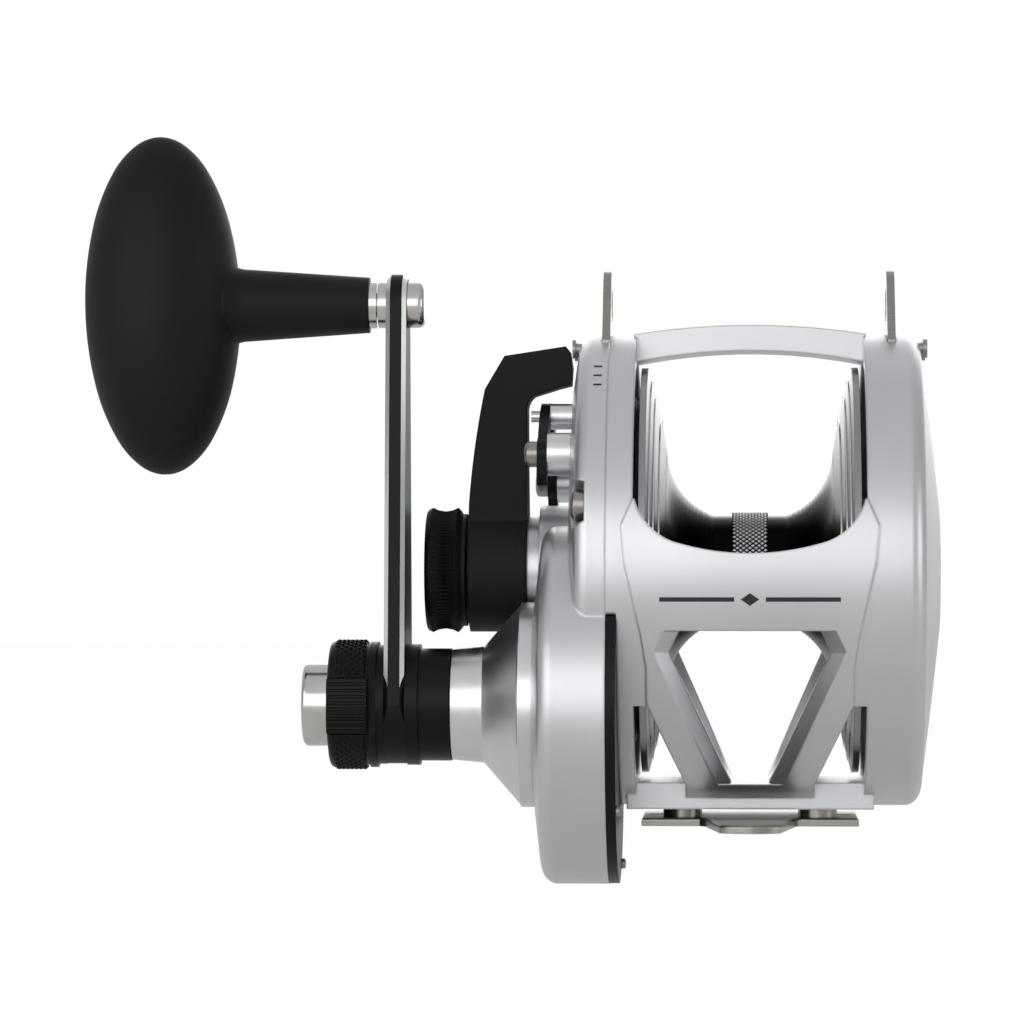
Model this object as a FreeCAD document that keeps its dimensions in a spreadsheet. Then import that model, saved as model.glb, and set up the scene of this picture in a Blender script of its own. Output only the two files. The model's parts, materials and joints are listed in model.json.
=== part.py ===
"""A two-speed lever-drag trolling reel, in millimetres.

The row frame: X runs along the spool axis from the crank (-X) to the tail plate (+X), -Y is the side the
line leaves from, +Z is up. The origin is the middle of the underside of the reel foot.
Three axes carry every turning piece, all parallel to X: the spool axis, the handle axis below and in front
of it, and the knob axis one crank radius above the handle axis.
"""
import FreeCAD, Part
import math
import os
import sys

import Sketcher
from FreeCAD import Placement, Rotation, Vector
from fcgear import fcgear, involute

DOC = FreeCAD.newDocument("trolling_reel")
AWAY = 80.0            # longer than any wall, for cutters that run right through

# ------------------------------------------------------------------------------------------------ sheet


class Size(float):
    """A number that remembers the spreadsheet expression it came from."""

    def __new__(cls, number, words):
        size = float.__new__(cls, number)
        size.words = words
        return size

    def __add__(self, other):
        return joined(self, other, "+", float(self) + float(other))

    def __radd__(self, other):
        return joined(other, self, "+", float(other) + float(self))

    def __sub__(self, other):
        return joined(self, other, "-", float(self) - float(other))

    def __rsub__(self, other):
        return joined(other, self, "-", float(other) - float(self))

    def __mul__(self, other):
        return joined(self, other, "*", float(self) * float(other))

    def __rmul__(self, other):
        return joined(other, self, "*", float(other) * float(self))

    def __truediv__(self, other):
        return joined(self, other, "/", float(self) / float(other))

    def __neg__(self):
        return joined(0.0, self, "-", -float(self))


def words(number):
    return number.words if isinstance(number, Size) else f"{float(number):.6f}"


def joined(first, second, sign, number):
    return Size(number, f"({words(first)} {sign} {words(second)})")


class Sheet:
    """The spreadsheet: each driving dimension is a named cell, and an attribute of this object."""

    def __init__(self, cells):
        self.table = DOC.addObject("Spreadsheet::Sheet", "Dims")
        for row, (name, number) in enumerate(cells.items(), start=1):
            self.table.set(f"A{row}", name)
            self.table.set(f"B{row}", str(number))
            self.table.setAlias(f"B{row}", name)
            setattr(self, name, Size(number, f"Dims.{name}"))


D = Sheet({
    # axes
    "axis_height": 53.8, "handle_forward": 16.7, "handle_drop": 28.3, "crank_radius": 84.1,
    # frame
    "ring_radius": 50.0, "ring_bore": 44.6, "saddle_radius": 50.7, "seam_x": -29.4, "mouth_half": 23.9,
    "base_drop": 50.2, "base_floor": 44.6, "base_half_depth": 17.0, "bar_top": 51.9, "bar_half_depth": 8.0,
    "window_top": 12.4, "side_window_top": 27.9, "tail_face": 40.5, "strut_bevel": 2.9,
    # handle side plate
    "plate_face": 38.0, "plate_wall": 2.6, "drum_radius": 37.5, "drum_bore": 35.2, "drum_face": 45.0,
    "drum_wall": 1.8, "boss_radius": 11.5, "boss_face": 47.2, "shoulder_radius": 13.7, "shoulder_face": 44.6,
    "nose_radius": 6.5, "nose_face": 54.0, "rim_cavity": 42.6, "back_plate": 2.1,
    # foot
    "foot_thickness": 1.7, "foot_wing": 22.8, "foot_half_depth": 16.0, "foot_reach": 45.0, "foot_tip": 6.2,
    "foot_root": 10.0, "foot_slot_x": 19.2, "foot_slot_radius": 1.6, "spacer_radius": 4.0,
    "foot_screw_x": 14.3, "foot_screw_y": 10.0,
    # harness lugs
    "lug_thickness": 1.7, "lug_top": 64.0, "lug_bottom": 45.0, "lug_half_depth": 14.2, "lug_hole": 3.6,
    # spool and its shaft
    "spool_half": 22.9, "spool_radius": 43.1, "rim_width": 1.4, "arbor_radius": 11.5, "shaft_radius": 3.0,
    "spool_bore": 3.6, "bearing_seat": 6.5, "drag_gap": 0.4, "washer_thickness": 1.0, "washer_bore": 22.0,
    "washer_radius": 36.0, "drag_plate_thickness": 2.2,
    # gears
    "gear_module": 0.9, "high_teeth": 60, "high_pinion_teeth": 13, "low_teeth": 52, "low_pinion_teeth": 21,
    "mesh_slack": 0.07, "high_gear_x": -36.5, "high_gear_width": 4.8, "low_gear_x": -42.5,
    "low_gear_width": 4.5, "journal_radius": 4.7, "pinion_bearing_radius": 8.0,
    # handle shaft, crank and knob
    "handle_shaft_radius": 4.0, "gear_seat_radius": 5.0, "handle_bearing_radius": 9.0, "cap_rim": 21.5,
    "arm_near": -71.9, "arm_far": -76.2, "arm_hub": 12.9, "arm_end": 6.8, "arm_bevel": 0.9,
    "sleeve_radius": 11.8, "flange_radius": 12.7, "collar_radius": 13.3, "button_radius": 8.75,
    "knob_x": -123.85, "knob_girth": 16.4, "knob_half_length": 35.7, "knob_tilt": 1.1,
    "neck_radius": 5.85, "neck_root_radius": 8.0, "spindle_radius": 2.5,
    # drag lever, quadrant, preset knob
    "lever_hub": 13.2, "lever_inner": -47.35, "lever_outer": -59.65, "lever_half_width": 5.5,
    "quadrant_outer": 35.6, "quadrant_inner": 31.4, "quadrant_strike": 33.5, "quadrant_left": -44.3,
    "quadrant_thickness": 2.1,
    "preset_radius": 13.2, "preset_left": -68.9, "preset_right": -60.3,
    # fits
    "running_fit": 0.02, "gear_fit": 0.05,
})

SPOOL = (0.0, D.axis_height)
HANDLE = (-D.handle_forward, D.axis_height - D.handle_drop)
KNOB = (-D.handle_forward, D.axis_height - D.handle_drop + D.crank_radius)
NODES = {}

# Angles in degrees from upright, positive towards the front. The pawls and the back plate's screws go
# round the handle axis, everything else round the spool axis.
LUG_SCREW_ANGLES = (-7.5, 7.5)
RIM_SCREW_ANGLES = (73.5, -38.0, -78.0, -125.0)
POST_ANGLES = (44.0, -56.0)
STRIKE_ANGLE = 14.0
PAWL_ANGLES = (60.0, 240.0)
BACK_SCREW_ANGLES = (125.0, 200.0, -60.0)


def bind(item, **sizes):
    """Set each property to its number, and to its expression where it has one."""
    for name, number in sizes.items():
        setattr(item, name, float(number))
        if isinstance(number, Size):
            item.setExpression(name, number.words)


def place(item, axis=(0.0, 0.0), x=0.0):
    """Stand an object on an axis parallel to X, moved along it by x."""
    item.Placement = Placement(Vector(float(x), float(axis[0]), float(axis[1])), item.Placement.Rotation)
    for letter, number in zip("xyz", (x, axis[0], axis[1])):
        if isinstance(number, Size):
            item.setExpression(f".Placement.Base.{letter}", number.words)
    return item


def keep(label, item):
    """Make an object a sub-part of the reel, under the name of its node."""
    item.Label = label
    NODES[label] = item
    return item


# ---------------------------------------------------------------------------------------- sketched shapes


def arc_between(start, end, radius):
    """The shorter arc between two corners, drawn anticlockwise; a positive radius bulges to the left."""
    chord = end - start
    half = chord.Length / 2
    reach = math.sqrt(max(radius * radius - half * half, 0.0))
    left = Vector(-chord.y, chord.x, 0).normalize()
    centre = (start + end) / 2 - left * math.copysign(reach, radius)
    first, second = (end, start) if radius > 0 else (start, end)
    angle = math.atan2(first.y - centre.y, first.x - centre.x)
    sweep = (math.atan2(second.y - centre.y, second.x - centre.x) - angle) % (2 * math.pi)
    return Part.ArcOfCircle(Part.Circle(centre, Vector(0, 0, 1), abs(radius)), angle, angle + sweep)


def draw(sketch, outline):
    """Close an outline of (u, v) corners; (u, v, radius) rounds the stretch from that corner to the next."""
    first = sketch.GeometryCount
    corners = [Vector(float(corner[0]), float(corner[1]), 0) for corner in outline]
    ends = []
    for index, corner in enumerate(outline):
        start, end = corners[index], corners[(index + 1) % len(outline)]
        if len(corner) == 3:
            sketch.addGeometry(arc_between(start, end, float(corner[2])))
            ends.append((2, 1) if corner[2] > 0 else (1, 2))
        else:
            sketch.addGeometry(Part.LineSegment(start, end))
            ends.append((1, 2))
    for index, corner in enumerate(outline):
        follower = (index + 1) % len(outline)
        sketch.addConstraint(Sketcher.Constraint(
            "Coincident", first + index, ends[index][1], first + follower, ends[follower][0]))
        for kind, number in (("DistanceX", corner[0]), ("DistanceY", corner[1])):
            held(sketch, kind, number, -1, 1, first + index, ends[index][0])
        if len(corner) == 3:
            held(sketch, "Radius", abs(float(corner[2])), first + index)


def held(sketch, kind, number, *where):
    """Fix one length of a sketch, bound to its cell where it has one."""
    index = sketch.addConstraint(Sketcher.Constraint(kind, *where, float(number)))
    if isinstance(number, Size):
        sketch.setExpression(f"Constraints[{index}]", number.words)


def origin_plane(body, role):
    return next(item for item in body.Origin.OriginFeatures if item.Role == role)


def sketch_on(body, role, outlines, offset=0.0):
    sketch = body.newObject("Sketcher::SketchObject", "Outline")
    sketch.AttachmentSupport = [(origin_plane(body, role), "")]
    sketch.MapMode = "FlatFace"
    sketch.AttachmentOffset = Placement(Vector(0, 0, float(offset)), Rotation())
    if isinstance(offset, Size):
        sketch.setExpression(".AttachmentOffset.Base.z", offset.words)
    for outline in outlines:
        draw(sketch, outline)
    return sketch


def turned(name, axis, outline, about="H_Axis"):
    """A body turned about an axis parallel to X, from an outline of (x, radius) corners."""
    body = DOC.addObject("PartDesign::Body", name)
    sketch = sketch_on(body, "XZ_Plane", [outline])
    turn = body.newObject("PartDesign::Revolution", "Turn")
    turn.Profile = sketch
    turn.ReferenceAxis = (sketch, [about])
    turn.Angle = 360.0
    return place(body, axis)


def tube(name, axis, x0, x1, outer, bore=None):
    """A plain round bar from x0 to x1, or a tube where it has a bore."""
    low = 0.0 if bore is None else bore
    return turned(name, axis, [(x0, low), (x1, low), (x1, outer), (x0, outer)])


def plate(name, axis, x0, x1, *outlines):
    """A flat plate across X from x0 to x1, from outlines of (y, z) corners."""
    body = DOC.addObject("PartDesign::Body", name)
    sketch = sketch_on(body, "YZ_Plane", outlines, x0)
    pad = body.newObject("PartDesign::Pad", "Thickness")
    pad.Profile = sketch
    bind(pad, Length=x1 - x0)
    return place(body, axis)


def through(name, axis, half_depth, *outlines):
    """A prism along Y, even on both sides, from outlines of (x, z) corners."""
    body = DOC.addObject("PartDesign::Body", name)
    sketch = sketch_on(body, "XZ_Plane", outlines)
    pad = body.newObject("PartDesign::Pad", "Depth")
    pad.Profile = sketch
    pad.Midplane = True
    bind(pad, Length=half_depth * 2)
    return place(body, axis)


def flat(name, z0, z1, *outlines):
    """A flat plate across Z from z0 to z1, from outlines of (x, y) corners."""
    body = DOC.addObject("PartDesign::Body", name)
    sketch = sketch_on(body, "XY_Plane", outlines, z0)
    pad = body.newObject("PartDesign::Pad", "Thickness")
    pad.Profile = sketch
    bind(pad, Length=z1 - z0)
    return body


def rod(axis, x0, x1, radius, around=None, angle=0.0):
    """A round bar as a Part cylinder along X, set off from the axis at an angle from upright to the front."""
    bar = DOC.addObject("Part::Cylinder", "Bar")
    bind(bar, Radius=radius, Height=x1 - x0)
    bar.Placement = Placement(Vector(), Rotation(Vector(0, 1, 0), 90))
    across = -math.sin(math.radians(angle))
    up = math.cos(math.radians(angle))
    offset = 0.0 if around is None else around
    return place(bar, (axis[0] + offset * across, axis[1] + offset * up), x0)


def upright(x, y, z0, z1, radius):
    """A round bar as a Part cylinder along Z."""
    bar = DOC.addObject("Part::Cylinder", "Upright")
    bind(bar, Radius=radius, Height=z1 - z0)
    bar.Placement = Placement(Vector(float(x), float(y), float(z0)), Rotation())
    for letter, number in zip("xyz", (x, y, z0)):
        if isinstance(number, Size):
            bar.setExpression(f".Placement.Base.{letter}", number.words)
    return bar


def block(axis, x, y, z):
    """A box between two values of x, y and z, measured from an axis parallel to X."""
    box = DOC.addObject("Part::Box", "Block")
    bind(box, Length=x[1] - x[0], Width=y[1] - y[0], Height=z[1] - z[0])
    return place(box, (axis[0] + y[0], axis[1] + z[0]), x[0])


# ------------------------------------------------------------------------------------- joined and refined


def fused(*pieces):
    union = DOC.addObject("Part::MultiFuse", "Union")
    union.Shapes = list(pieces)
    union.Refine = False
    return union


def shared(*pieces):
    common = DOC.addObject("Part::MultiCommon", "Shared")
    common.Shapes = list(pieces)
    return common


def without(base, *tools):
    for tool in tools:
        cut = DOC.addObject("Part::Cut", "Cut")
        cut.Base, cut.Tool = base, tool
        cut.Refine = False
        base = cut
    return base


def together(*pieces):
    """Separate solids that share one node, such as a set of equal screws."""
    group = DOC.addObject("Part::Compound", "Set")
    group.Links = list(pieces)
    return group


def edges_where(shape, test):
    """The names of the edges whose middle point passes the test."""
    names = []
    for number, edge in enumerate(shape.Edges, start=1):
        middle = edge.valueAt((edge.FirstParameter + edge.LastParameter) / 2)
        if test(edge, middle):
            names.append(f"Edge{number}")
    return names


def body_of(piece):
    """The body itself, or a body that starts from a boolean's result, so that edges can be dressed."""
    if piece.TypeId == "PartDesign::Body":
        return piece
    body = DOC.addObject("PartDesign::Body", "Dressed")
    body.BaseFeature = piece
    DOC.recompute()
    return body


def dressed(piece, kind, size, test):
    """Round or bevel the edges that pass the test; the edge test sees the body's own coordinates."""
    body = body_of(piece)
    DOC.recompute()
    base = body.Tip
    names = edges_where(base.Shape, test)
    if not names:
        raise ValueError(f"{piece.Label}: no edge to dress")
    feature = body.newObject(f"PartDesign::{kind}", kind)
    feature.Base = (base, names)
    bind(feature, **{"Radius" if kind == "Fillet" else "Size": size})
    DOC.recompute()
    if not feature.Shape.isValid() or "Invalid" in feature.State or feature.Shape.isNull():
        raise ValueError(f"{piece.Label}: {kind} of {float(size):.2f} on {names} failed")
    return body


def circle_at(x, radius, slack=0.02):
    """An edge test: a circle round the body's own X axis."""
    def test(edge, middle):
        curve = edge.Curve
        return (hasattr(curve, "Radius") and abs(curve.Radius - float(radius)) < slack
                and abs(middle.x - float(x)) < slack)
    return test


# --------------------------------------------------------------------------------------------- the frame


def tail_outline():
    """Half section of the bell-shaped tail plate: outside, then the cavity and the pocket of the shaft."""
    mouth, ring, bore, face = D.mouth_half, D.ring_radius, D.ring_bore, D.tail_face
    return [
        (mouth, bore), (mouth, ring), (face - 7.4, ring, 3.6), (face - 4.5, ring - 3.8),
        (face - 3.2, ring - 13.5), (face - 2.0, ring - 23), (face - 0.45, ring - 36), (face, 0.0),
        (face - 3.3, 0.0), (face - 3.3, 5.6), (32.0, 5.6), (32.0, 8.6), (face - 2.8, 8.6),
        (face - 3.8, 22.0), (face - 5.4, 34.0), (33.4, bore),
    ]


def saddle_outline():
    """Front view of the panel and its two struts, outside edge only."""
    low = -D.base_drop
    return [
        (-26.3, 9.0), (-23.9, 14.5), (23.9, 14.5), (26.3, 9.0), (25.6, 1.5), (22.2, -13.5), (21.2, -20.0),
        (21.2, -27.5), (13.4, -D.base_floor), (13.4, low), (-13.4, low), (-13.4, -D.base_floor),
        (-21.2, -27.5), (-21.2, -20.0), (-22.2, -13.5), (-25.6, 1.5),
    ]


def window_outline():
    """Front view of the V window between the struts, before its bevel."""
    top, floor, cut = -D.window_top, -D.base_floor, 4.4
    return [(-14.4, top), (14.4, top), (16.5, top - cut), (3.9, floor), (-3.9, floor), (-16.5, top - cut)]


def flank_outline():
    """Front view of the shell at ring level beside the panel, down to the top of the side windows."""
    reach, low, high = D.mouth_half + 2.4, -D.side_window_top, 3.0
    return [(-reach, low), (reach, low), (reach, high), (-reach, high)]


def frame():
    ring = tube("HandleRing", SPOOL, D.seam_x, -D.mouth_half, D.ring_radius, D.ring_bore)
    tail = turned("TailPlate", SPOOL, tail_outline())
    shell = tube("SaddleShell", SPOOL, -26.3, 26.3, D.saddle_radius, D.ring_bore)
    saddle = shared(shell, through("SaddleView", SPOOL, AWAY, saddle_outline()))
    web = tube("FlankShell", SPOOL, -D.mouth_half - 2.4, D.mouth_half + 2.4, D.ring_radius, D.ring_bore)
    flank = shared(web, through("FlankView", SPOOL, AWAY, flank_outline()))
    base = block(SPOOL, (-D.mouth_half - 2.0, D.mouth_half + 2.0), (-D.base_half_depth, D.base_half_depth),
                 (-D.base_drop, -D.base_floor))
    bar = through("TopBar", SPOOL, D.bar_half_depth, [
        (-D.mouth_half - 0.6, D.bar_top - 1.9, 155), (D.mouth_half + 0.6, D.bar_top - 1.9),
        (D.mouth_half + 0.6, 43.9, -122), (-D.mouth_half - 0.6, 43.9)])
    mouth = through("Mouth", SPOOL, AWAY, [
        (-D.mouth_half, 43.0), (D.mouth_half, 43.0), (D.mouth_half, 17.0, 12.5), (14.2, 5.4, 52.0),
        (-14.2, 5.4, 12.5), (-D.mouth_half, 17.0)])
    window = through("Window", SPOOL, AWAY, window_outline())
    under = block(SPOOL, (-AWAY, AWAY), (-AWAY, AWAY), (-AWAY, -D.base_drop))
    solid_panels = without(fused(saddle, base, flank), window, mouth, under)
    panels = dressed(solid_panels, "Chamfer", D.strut_bevel, window_rim)
    lug_slot = block(SPOOL, (28.85, 30.75), (-D.lug_half_depth - 0.1, D.lug_half_depth + 0.1),
                     (D.lug_bottom - 0.1, AWAY))
    back_recess = tube("BackRecess", HANDLE, D.seam_x - 1.0, D.seam_x + D.back_plate + 0.1,
                       D.drum_radius + 0.25)
    click_slot = block(SPOOL, (34.0, AWAY), (21.8, 29.2), (-1.75, 1.75))
    pocket = block(SPOOL, (38.4, AWAY), (17.0, 32.0), (-4.8, 4.8))
    screw_holes = [upright(side * D.foot_screw_x, way * D.foot_screw_y, 0.0, 8.0, 1.9)
                   for side in (-1, 1) for way in (-1, 1)]
    lug_holes = [rod(SPOOL, D.seam_x - 1, -26.4, 1.2, 47.3, angle) for angle in LUG_SCREW_ANGLES]
    lug_holes += [rod(SPOOL, 26.4, 36.5, 1.2, 47.3, angle) for angle in LUG_SCREW_ANGLES]
    rim_holes = [rod(SPOOL, D.seam_x - 1, -25.4, 1.4, 46.2, angle) for angle in RIM_SCREW_ANGLES]
    keep("frame", without(fused(ring, tail, panels, bar), lug_slot, back_recess, click_slot, pocket,
                          *screw_holes, *lug_holes, *rim_holes))


def window_rim(edge, middle):
    """The sloping outer edges of the V window, where its walls meet the saddle's surface."""
    height = middle.z - float(D.axis_height)
    at_surface = abs(math.hypot(middle.y, height) - float(D.saddle_radius)) < 0.02
    in_window = -float(D.base_floor) + 0.1 < height < -float(D.window_top) - 0.1
    half_width = 18.5 - 0.4 * max(0.0, -17.0 - height)
    return at_surface and in_window and abs(middle.x) < half_width


# ------------------------------------------------------------------------------- handle side plate, gears


def handle_side_plate():
    seam, face, wall = D.seam_x, D.plate_face, D.plate_wall
    dome = turned("Dome", SPOOL, [
        (seam, 0.0), (seam, D.ring_radius), (-33.4, D.ring_radius, -3.4), (-36.1, D.ring_radius - 3.0),
        (-37.1, 40.0), (-face, 24.0), (-face, 0.0)])
    drum = turned("Drum", HANDLE, [
        (seam, 0.0), (seam, D.drum_radius), (-40.6, D.drum_radius, -3.6), (-43.5, D.drum_radius - 3.2),
        (-D.drum_face, 22.0), (-D.drum_face, 0.0)])
    shoulder = tube("Shoulder", SPOOL, -D.shoulder_face, -face, D.shoulder_radius)
    boss = tube("Boss", SPOOL, -D.boss_face, -D.shoulder_face, D.boss_radius)
    nose = tube("Nose", SPOOL, -D.nose_face, -D.boss_face, D.nose_radius)
    dome_cavity = turned("DomeCavity", SPOOL, [
        (seam + 1, 0.0), (seam + 1, D.rim_cavity), (-33.0, D.rim_cavity), (-face + wall, 36.0),
        (-face + wall, 0.0)])
    drum_cavity = turned("DrumCavity", HANDLE, [
        (seam + 1, 0.0), (seam + 1, D.drum_bore), (-40.4, D.drum_bore), (-42.2, D.drum_bore - 3.2),
        (-D.drum_face + D.drum_wall, 20.0), (-D.drum_face + D.drum_wall, 0.0)])
    pinion_cavity = tube("PinionCavity", SPOOL, -43.2, -30.0, 11.1)
    bearing_seat = tube("PinionSeat", SPOOL, -46.4, -43.2, D.pinion_bearing_radius)
    shaft_hole = tube("ShaftHole", SPOOL, -AWAY, -46.0, 3.9)
    cap_hole = tube("CapHole", HANDLE, -AWAY, -43.0, 12.4)
    pawl_holes = [rod(HANDLE, -D.drum_face - 1, -43.0, 1.2, 15.2, angle) for angle in PAWL_ANGLES]
    lug_slot = block(SPOOL, (seam - D.lug_thickness - 0.05, seam + 1.0),
                     (-D.lug_half_depth - 0.1, D.lug_half_depth + 0.1), (D.lug_bottom - 0.1, AWAY))
    lug_holes = [rod(SPOOL, -37.0, seam + 1, 1.2, 47.3, angle) for angle in LUG_SCREW_ANGLES]
    rim_holes = [rod(SPOOL, -AWAY, seam + 1, 1.4, 46.2, angle) for angle in RIM_SCREW_ANGLES]
    recesses = [rod(SPOOL, -AWAY, -33.8, 4.9, 47.2, angle) for angle in RIM_SCREW_ANGLES]
    post_holes = [rod(SPOOL, -AWAY, -36.0, 1.2, 33.6, angle) for angle in POST_ANGLES]
    button_hole = rod(SPOOL, -AWAY, -36.0, 1.3, D.quadrant_strike, STRIKE_ANGLE)
    back_holes = [rod(HANDLE, -35.0, seam + 1, 0.9, 36.3, angle) for angle in BACK_SCREW_ANGLES]
    outside = fused(dome, drum, shoulder, boss, nose)
    keep("handle_side_plate", without(
        outside, dome_cavity, drum_cavity, pinion_cavity, bearing_seat, shaft_hole, cap_hole, *pawl_holes,
        lug_slot, *lug_holes, *rim_holes, *recesses, *post_holes, button_hole, *back_holes))


def gear_housing_cap():
    cone = turned("Cone", HANDLE, [
        (-45.0, 18.6), (-45.0, D.cap_rim), (-47.9, D.cap_rim), (-48.2, D.cap_rim - 0.6), (-55.8, 12.2),
        (-62.4, 11.6), (-62.4, 9.9), (-61.3, 9.9), (-61.3, D.handle_bearing_radius),
        (-57.3, D.handle_bearing_radius), (-57.3, 7.4), (-55.5, 7.4), (-54.0, 9.4), (-49.4, 15.4),
        (-48.8, 18.6)])
    lever_room = tube("LeverRoom", SPOOL, -AWAY, -44.9, D.lever_hub + 0.4)
    keep("gear_housing_cap", without(cone, lever_room))


def gear_case_back():
    seam, right = D.seam_x, D.seam_x + D.back_plate
    disc = tube("BackDisc", HANDLE, seam, right, D.drum_radius - 0.1)
    lobe = tube("BackLobe", SPOOL, seam, right, 14.0)
    boss = tube("BackBoss", SPOOL, seam - 1.4, seam, 10.4)
    seat = tube("BackSeat", SPOOL, seam - 2.0, right + 1, D.pinion_bearing_radius)
    handle_seat = tube("HandleSeat", HANDLE, seam - 0.5, right - 0.5, 7.5)
    holes = [rod(HANDLE, seam - 1, right + 1, 0.9, 36.3, angle) for angle in BACK_SCREW_ANGLES]
    keep("gear_case_back", without(fused(disc, lobe, boss), seat, handle_seat, *holes))


def bearings():
    """Sealed ball bearings, each kept as one closed ring, and the seal outside the handle's bearing."""
    fit, seam, wide = D.running_fit, D.seam_x, D.pinion_bearing_radius
    for label, axis, x0, x1, outer, bore in (
            ("handle_outer_bearing", HANDLE, -61.3, -57.3, D.handle_bearing_radius,
             D.handle_shaft_radius + fit),
            ("handle_inner_bearing", HANDLE, seam - 0.5, seam + D.back_plate - 0.5, 7.5,
             D.handle_shaft_radius + fit),
            ("pinion_outer_bearing", SPOOL, -46.4, -43.4, wide, 4.4 + fit),
            ("pinion_inner_bearing", SPOOL, seam - 1.3, seam + D.back_plate, wide, D.journal_radius + fit),
            ("tail_bearing", SPOOL, 32.2, 36.2, 5.6, D.shaft_radius + fit),
            ("handle_seal", HANDLE, -62.3, -61.5, 9.9, D.handle_shaft_radius + 0.1)):
        keep(label, tube(label, axis, x0, x1, outer, bore))


def gear(name, axis, x0, width, teeth, bore, shift, turn=0.0):
    """A spur gear of the reel's module; a smaller profile shift than its pair's leaves the backlash."""
    builder = fcgear.FCWireBuilder()
    module = float(D.gear_module)
    involute.CreateExternalGear(builder, module, int(teeth), 20, True, 1.0, 1.25, 0.3, shift)
    wire = Part.Wire([piece.toShape() if hasattr(piece, "toShape") else piece for piece in builder.wire])
    face = Part.Face(wire)
    solid = face.extrude(Vector(0, 0, float(width)))
    solid.rotate(Vector(), Vector(0, 0, 1), turn)
    solid.rotate(Vector(), Vector(0, 1, 0), 90)
    hole = Part.makeCylinder(float(bore), float(width) + 2, Vector(-1, 0, 0), Vector(1, 0, 0))
    feature = DOC.addObject("Part::Feature", name)
    feature.Shape = solid.cut(hole)
    return place(feature, axis, x0)


def gears():
    """The two main gears on the handle axis and the double pinion on the spool axis, in mesh at rest."""
    slack = -float(D.mesh_slack)
    pinion_shift, gear_shift = 0.25 + slack, -0.25 + slack
    high = gear("HighGear", HANDLE, D.high_gear_x, D.high_gear_width, D.high_teeth, D.gear_seat_radius,
                gear_shift, mesh_turn(D.high_teeth, True))
    low = gear("LowGear", HANDLE, D.low_gear_x, D.low_gear_width, D.low_teeth,
               D.gear_seat_radius + D.gear_fit, gear_shift, mesh_turn(D.low_teeth, True))
    keep("high_gear", high)
    keep("low_gear", low)
    bore = D.shaft_radius + 0.1
    fast = gear("FastPinion", SPOOL, -37.3, 6.2, D.high_pinion_teeth, bore, pinion_shift,
                mesh_turn(D.high_pinion_teeth, False))
    slow = gear("SlowPinion", SPOOL, -43.1, 5.4, D.low_pinion_teeth, bore, pinion_shift,
                mesh_turn(D.low_pinion_teeth, False))
    web = tube("PinionWeb", SPOOL, -37.75, -37.2, 4.6, bore)
    left = tube("PinionLeft", SPOOL, -46.2, -43.1, 4.4, bore)
    right = tube("PinionRight", SPOOL, -31.1, -24.6, D.journal_radius, bore)
    keep("pinion", fused(fast, slow, web, left, right))


def mesh_turn(teeth, is_gear):
    """Turn a gear so that a tooth (main gear) or a gap (pinion) lies on the line between the two axes."""
    toward = math.degrees(math.atan2(float(D.handle_forward), float(D.handle_drop)))
    return 180.0 - toward if is_gear else 360.0 - toward + 180.0 / float(teeth)


def handle_shaft():
    """Hollow shaft: bearings at both ends, a wider seat for the two gears with the key chamber inside."""
    r, seat = D.handle_shaft_radius, D.gear_seat_radius
    keep("handle_shaft", turned("Shaft", HANDLE, [
        (-80.2, 1.75), (-80.2, r), (-45.2, r), (-45.2, seat), (-30.6, seat), (-30.6, r), (-27.9, r),
        (-27.9, 0.0), (-29.6, 0.0), (-29.6, 3.5), (-43.6, 3.5), (-43.6, 1.75)]))


def ratchet_and_pawls():
    wheel_left, wheel_right = -48.0, -46.2
    teeth = []
    count, root, tip = 18, 10.2, 11.6
    for index in range(count):
        start = 2 * math.pi * index / count
        for radius, step in ((root, 0.0), (tip, 0.86)):
            angle = start + step * 2 * math.pi / count
            teeth.append((radius * math.sin(angle), radius * math.cos(angle)))
    wheel = plate("Wheel", HANDLE, wheel_left, wheel_right, teeth)
    bore = tube("WheelBore", HANDLE, wheel_left - 1, wheel_right + 1, D.handle_shaft_radius)
    keep("ratchet_wheel", without(wheel, bore))
    pins = [rod(HANDLE, -48.3, -43.3, 1.2, 15.2, angle) for angle in PAWL_ANGLES]
    keep("pawl_pins", together(*pins))
    for label, angle in zip(("front_pawl", "rear_pawl"), PAWL_ANGLES):
        heel = rod(HANDLE, wheel_left, wheel_right, 2.3, 15.2, angle)
        toe = rod(HANDLE, wheel_left, wheel_right, 0.9, 12.75, angle + 26)
        arm = hull_arm(HANDLE, wheel_left, wheel_right, 15.2, angle, 2.3, 12.75, angle + 26, 0.9)
        hole = rod(HANDLE, wheel_left - 1, wheel_right + 1, 1.2 + D.gear_fit, 15.2, angle)
        keep(label, without(fused(heel, toe, arm), hole))


def polar(radius, angle):
    """Y and Z at a radius and an angle measured from upright towards the front."""
    return Vector(-radius * math.sin(math.radians(angle)), radius * math.cos(math.radians(angle)), 0)


def hull_arm(axis, x0, x1, near_radius, near_angle, near_width, far_radius, far_angle, far_width):
    """The straight-sided plate that joins two round ends."""
    near, far = polar(near_radius, near_angle), polar(far_radius, far_angle)
    side = Vector(far.y - near.y, near.x - far.x, 0).normalize()
    corners = [near + side * near_width, far + side * far_width, far - side * far_width,
               near - side * near_width]
    return plate("Arm", axis, x0, x1, [(corner.x, corner.y) for corner in corners])


# --------------------------------------------------------------------------------- spool, shaft and drag


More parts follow.
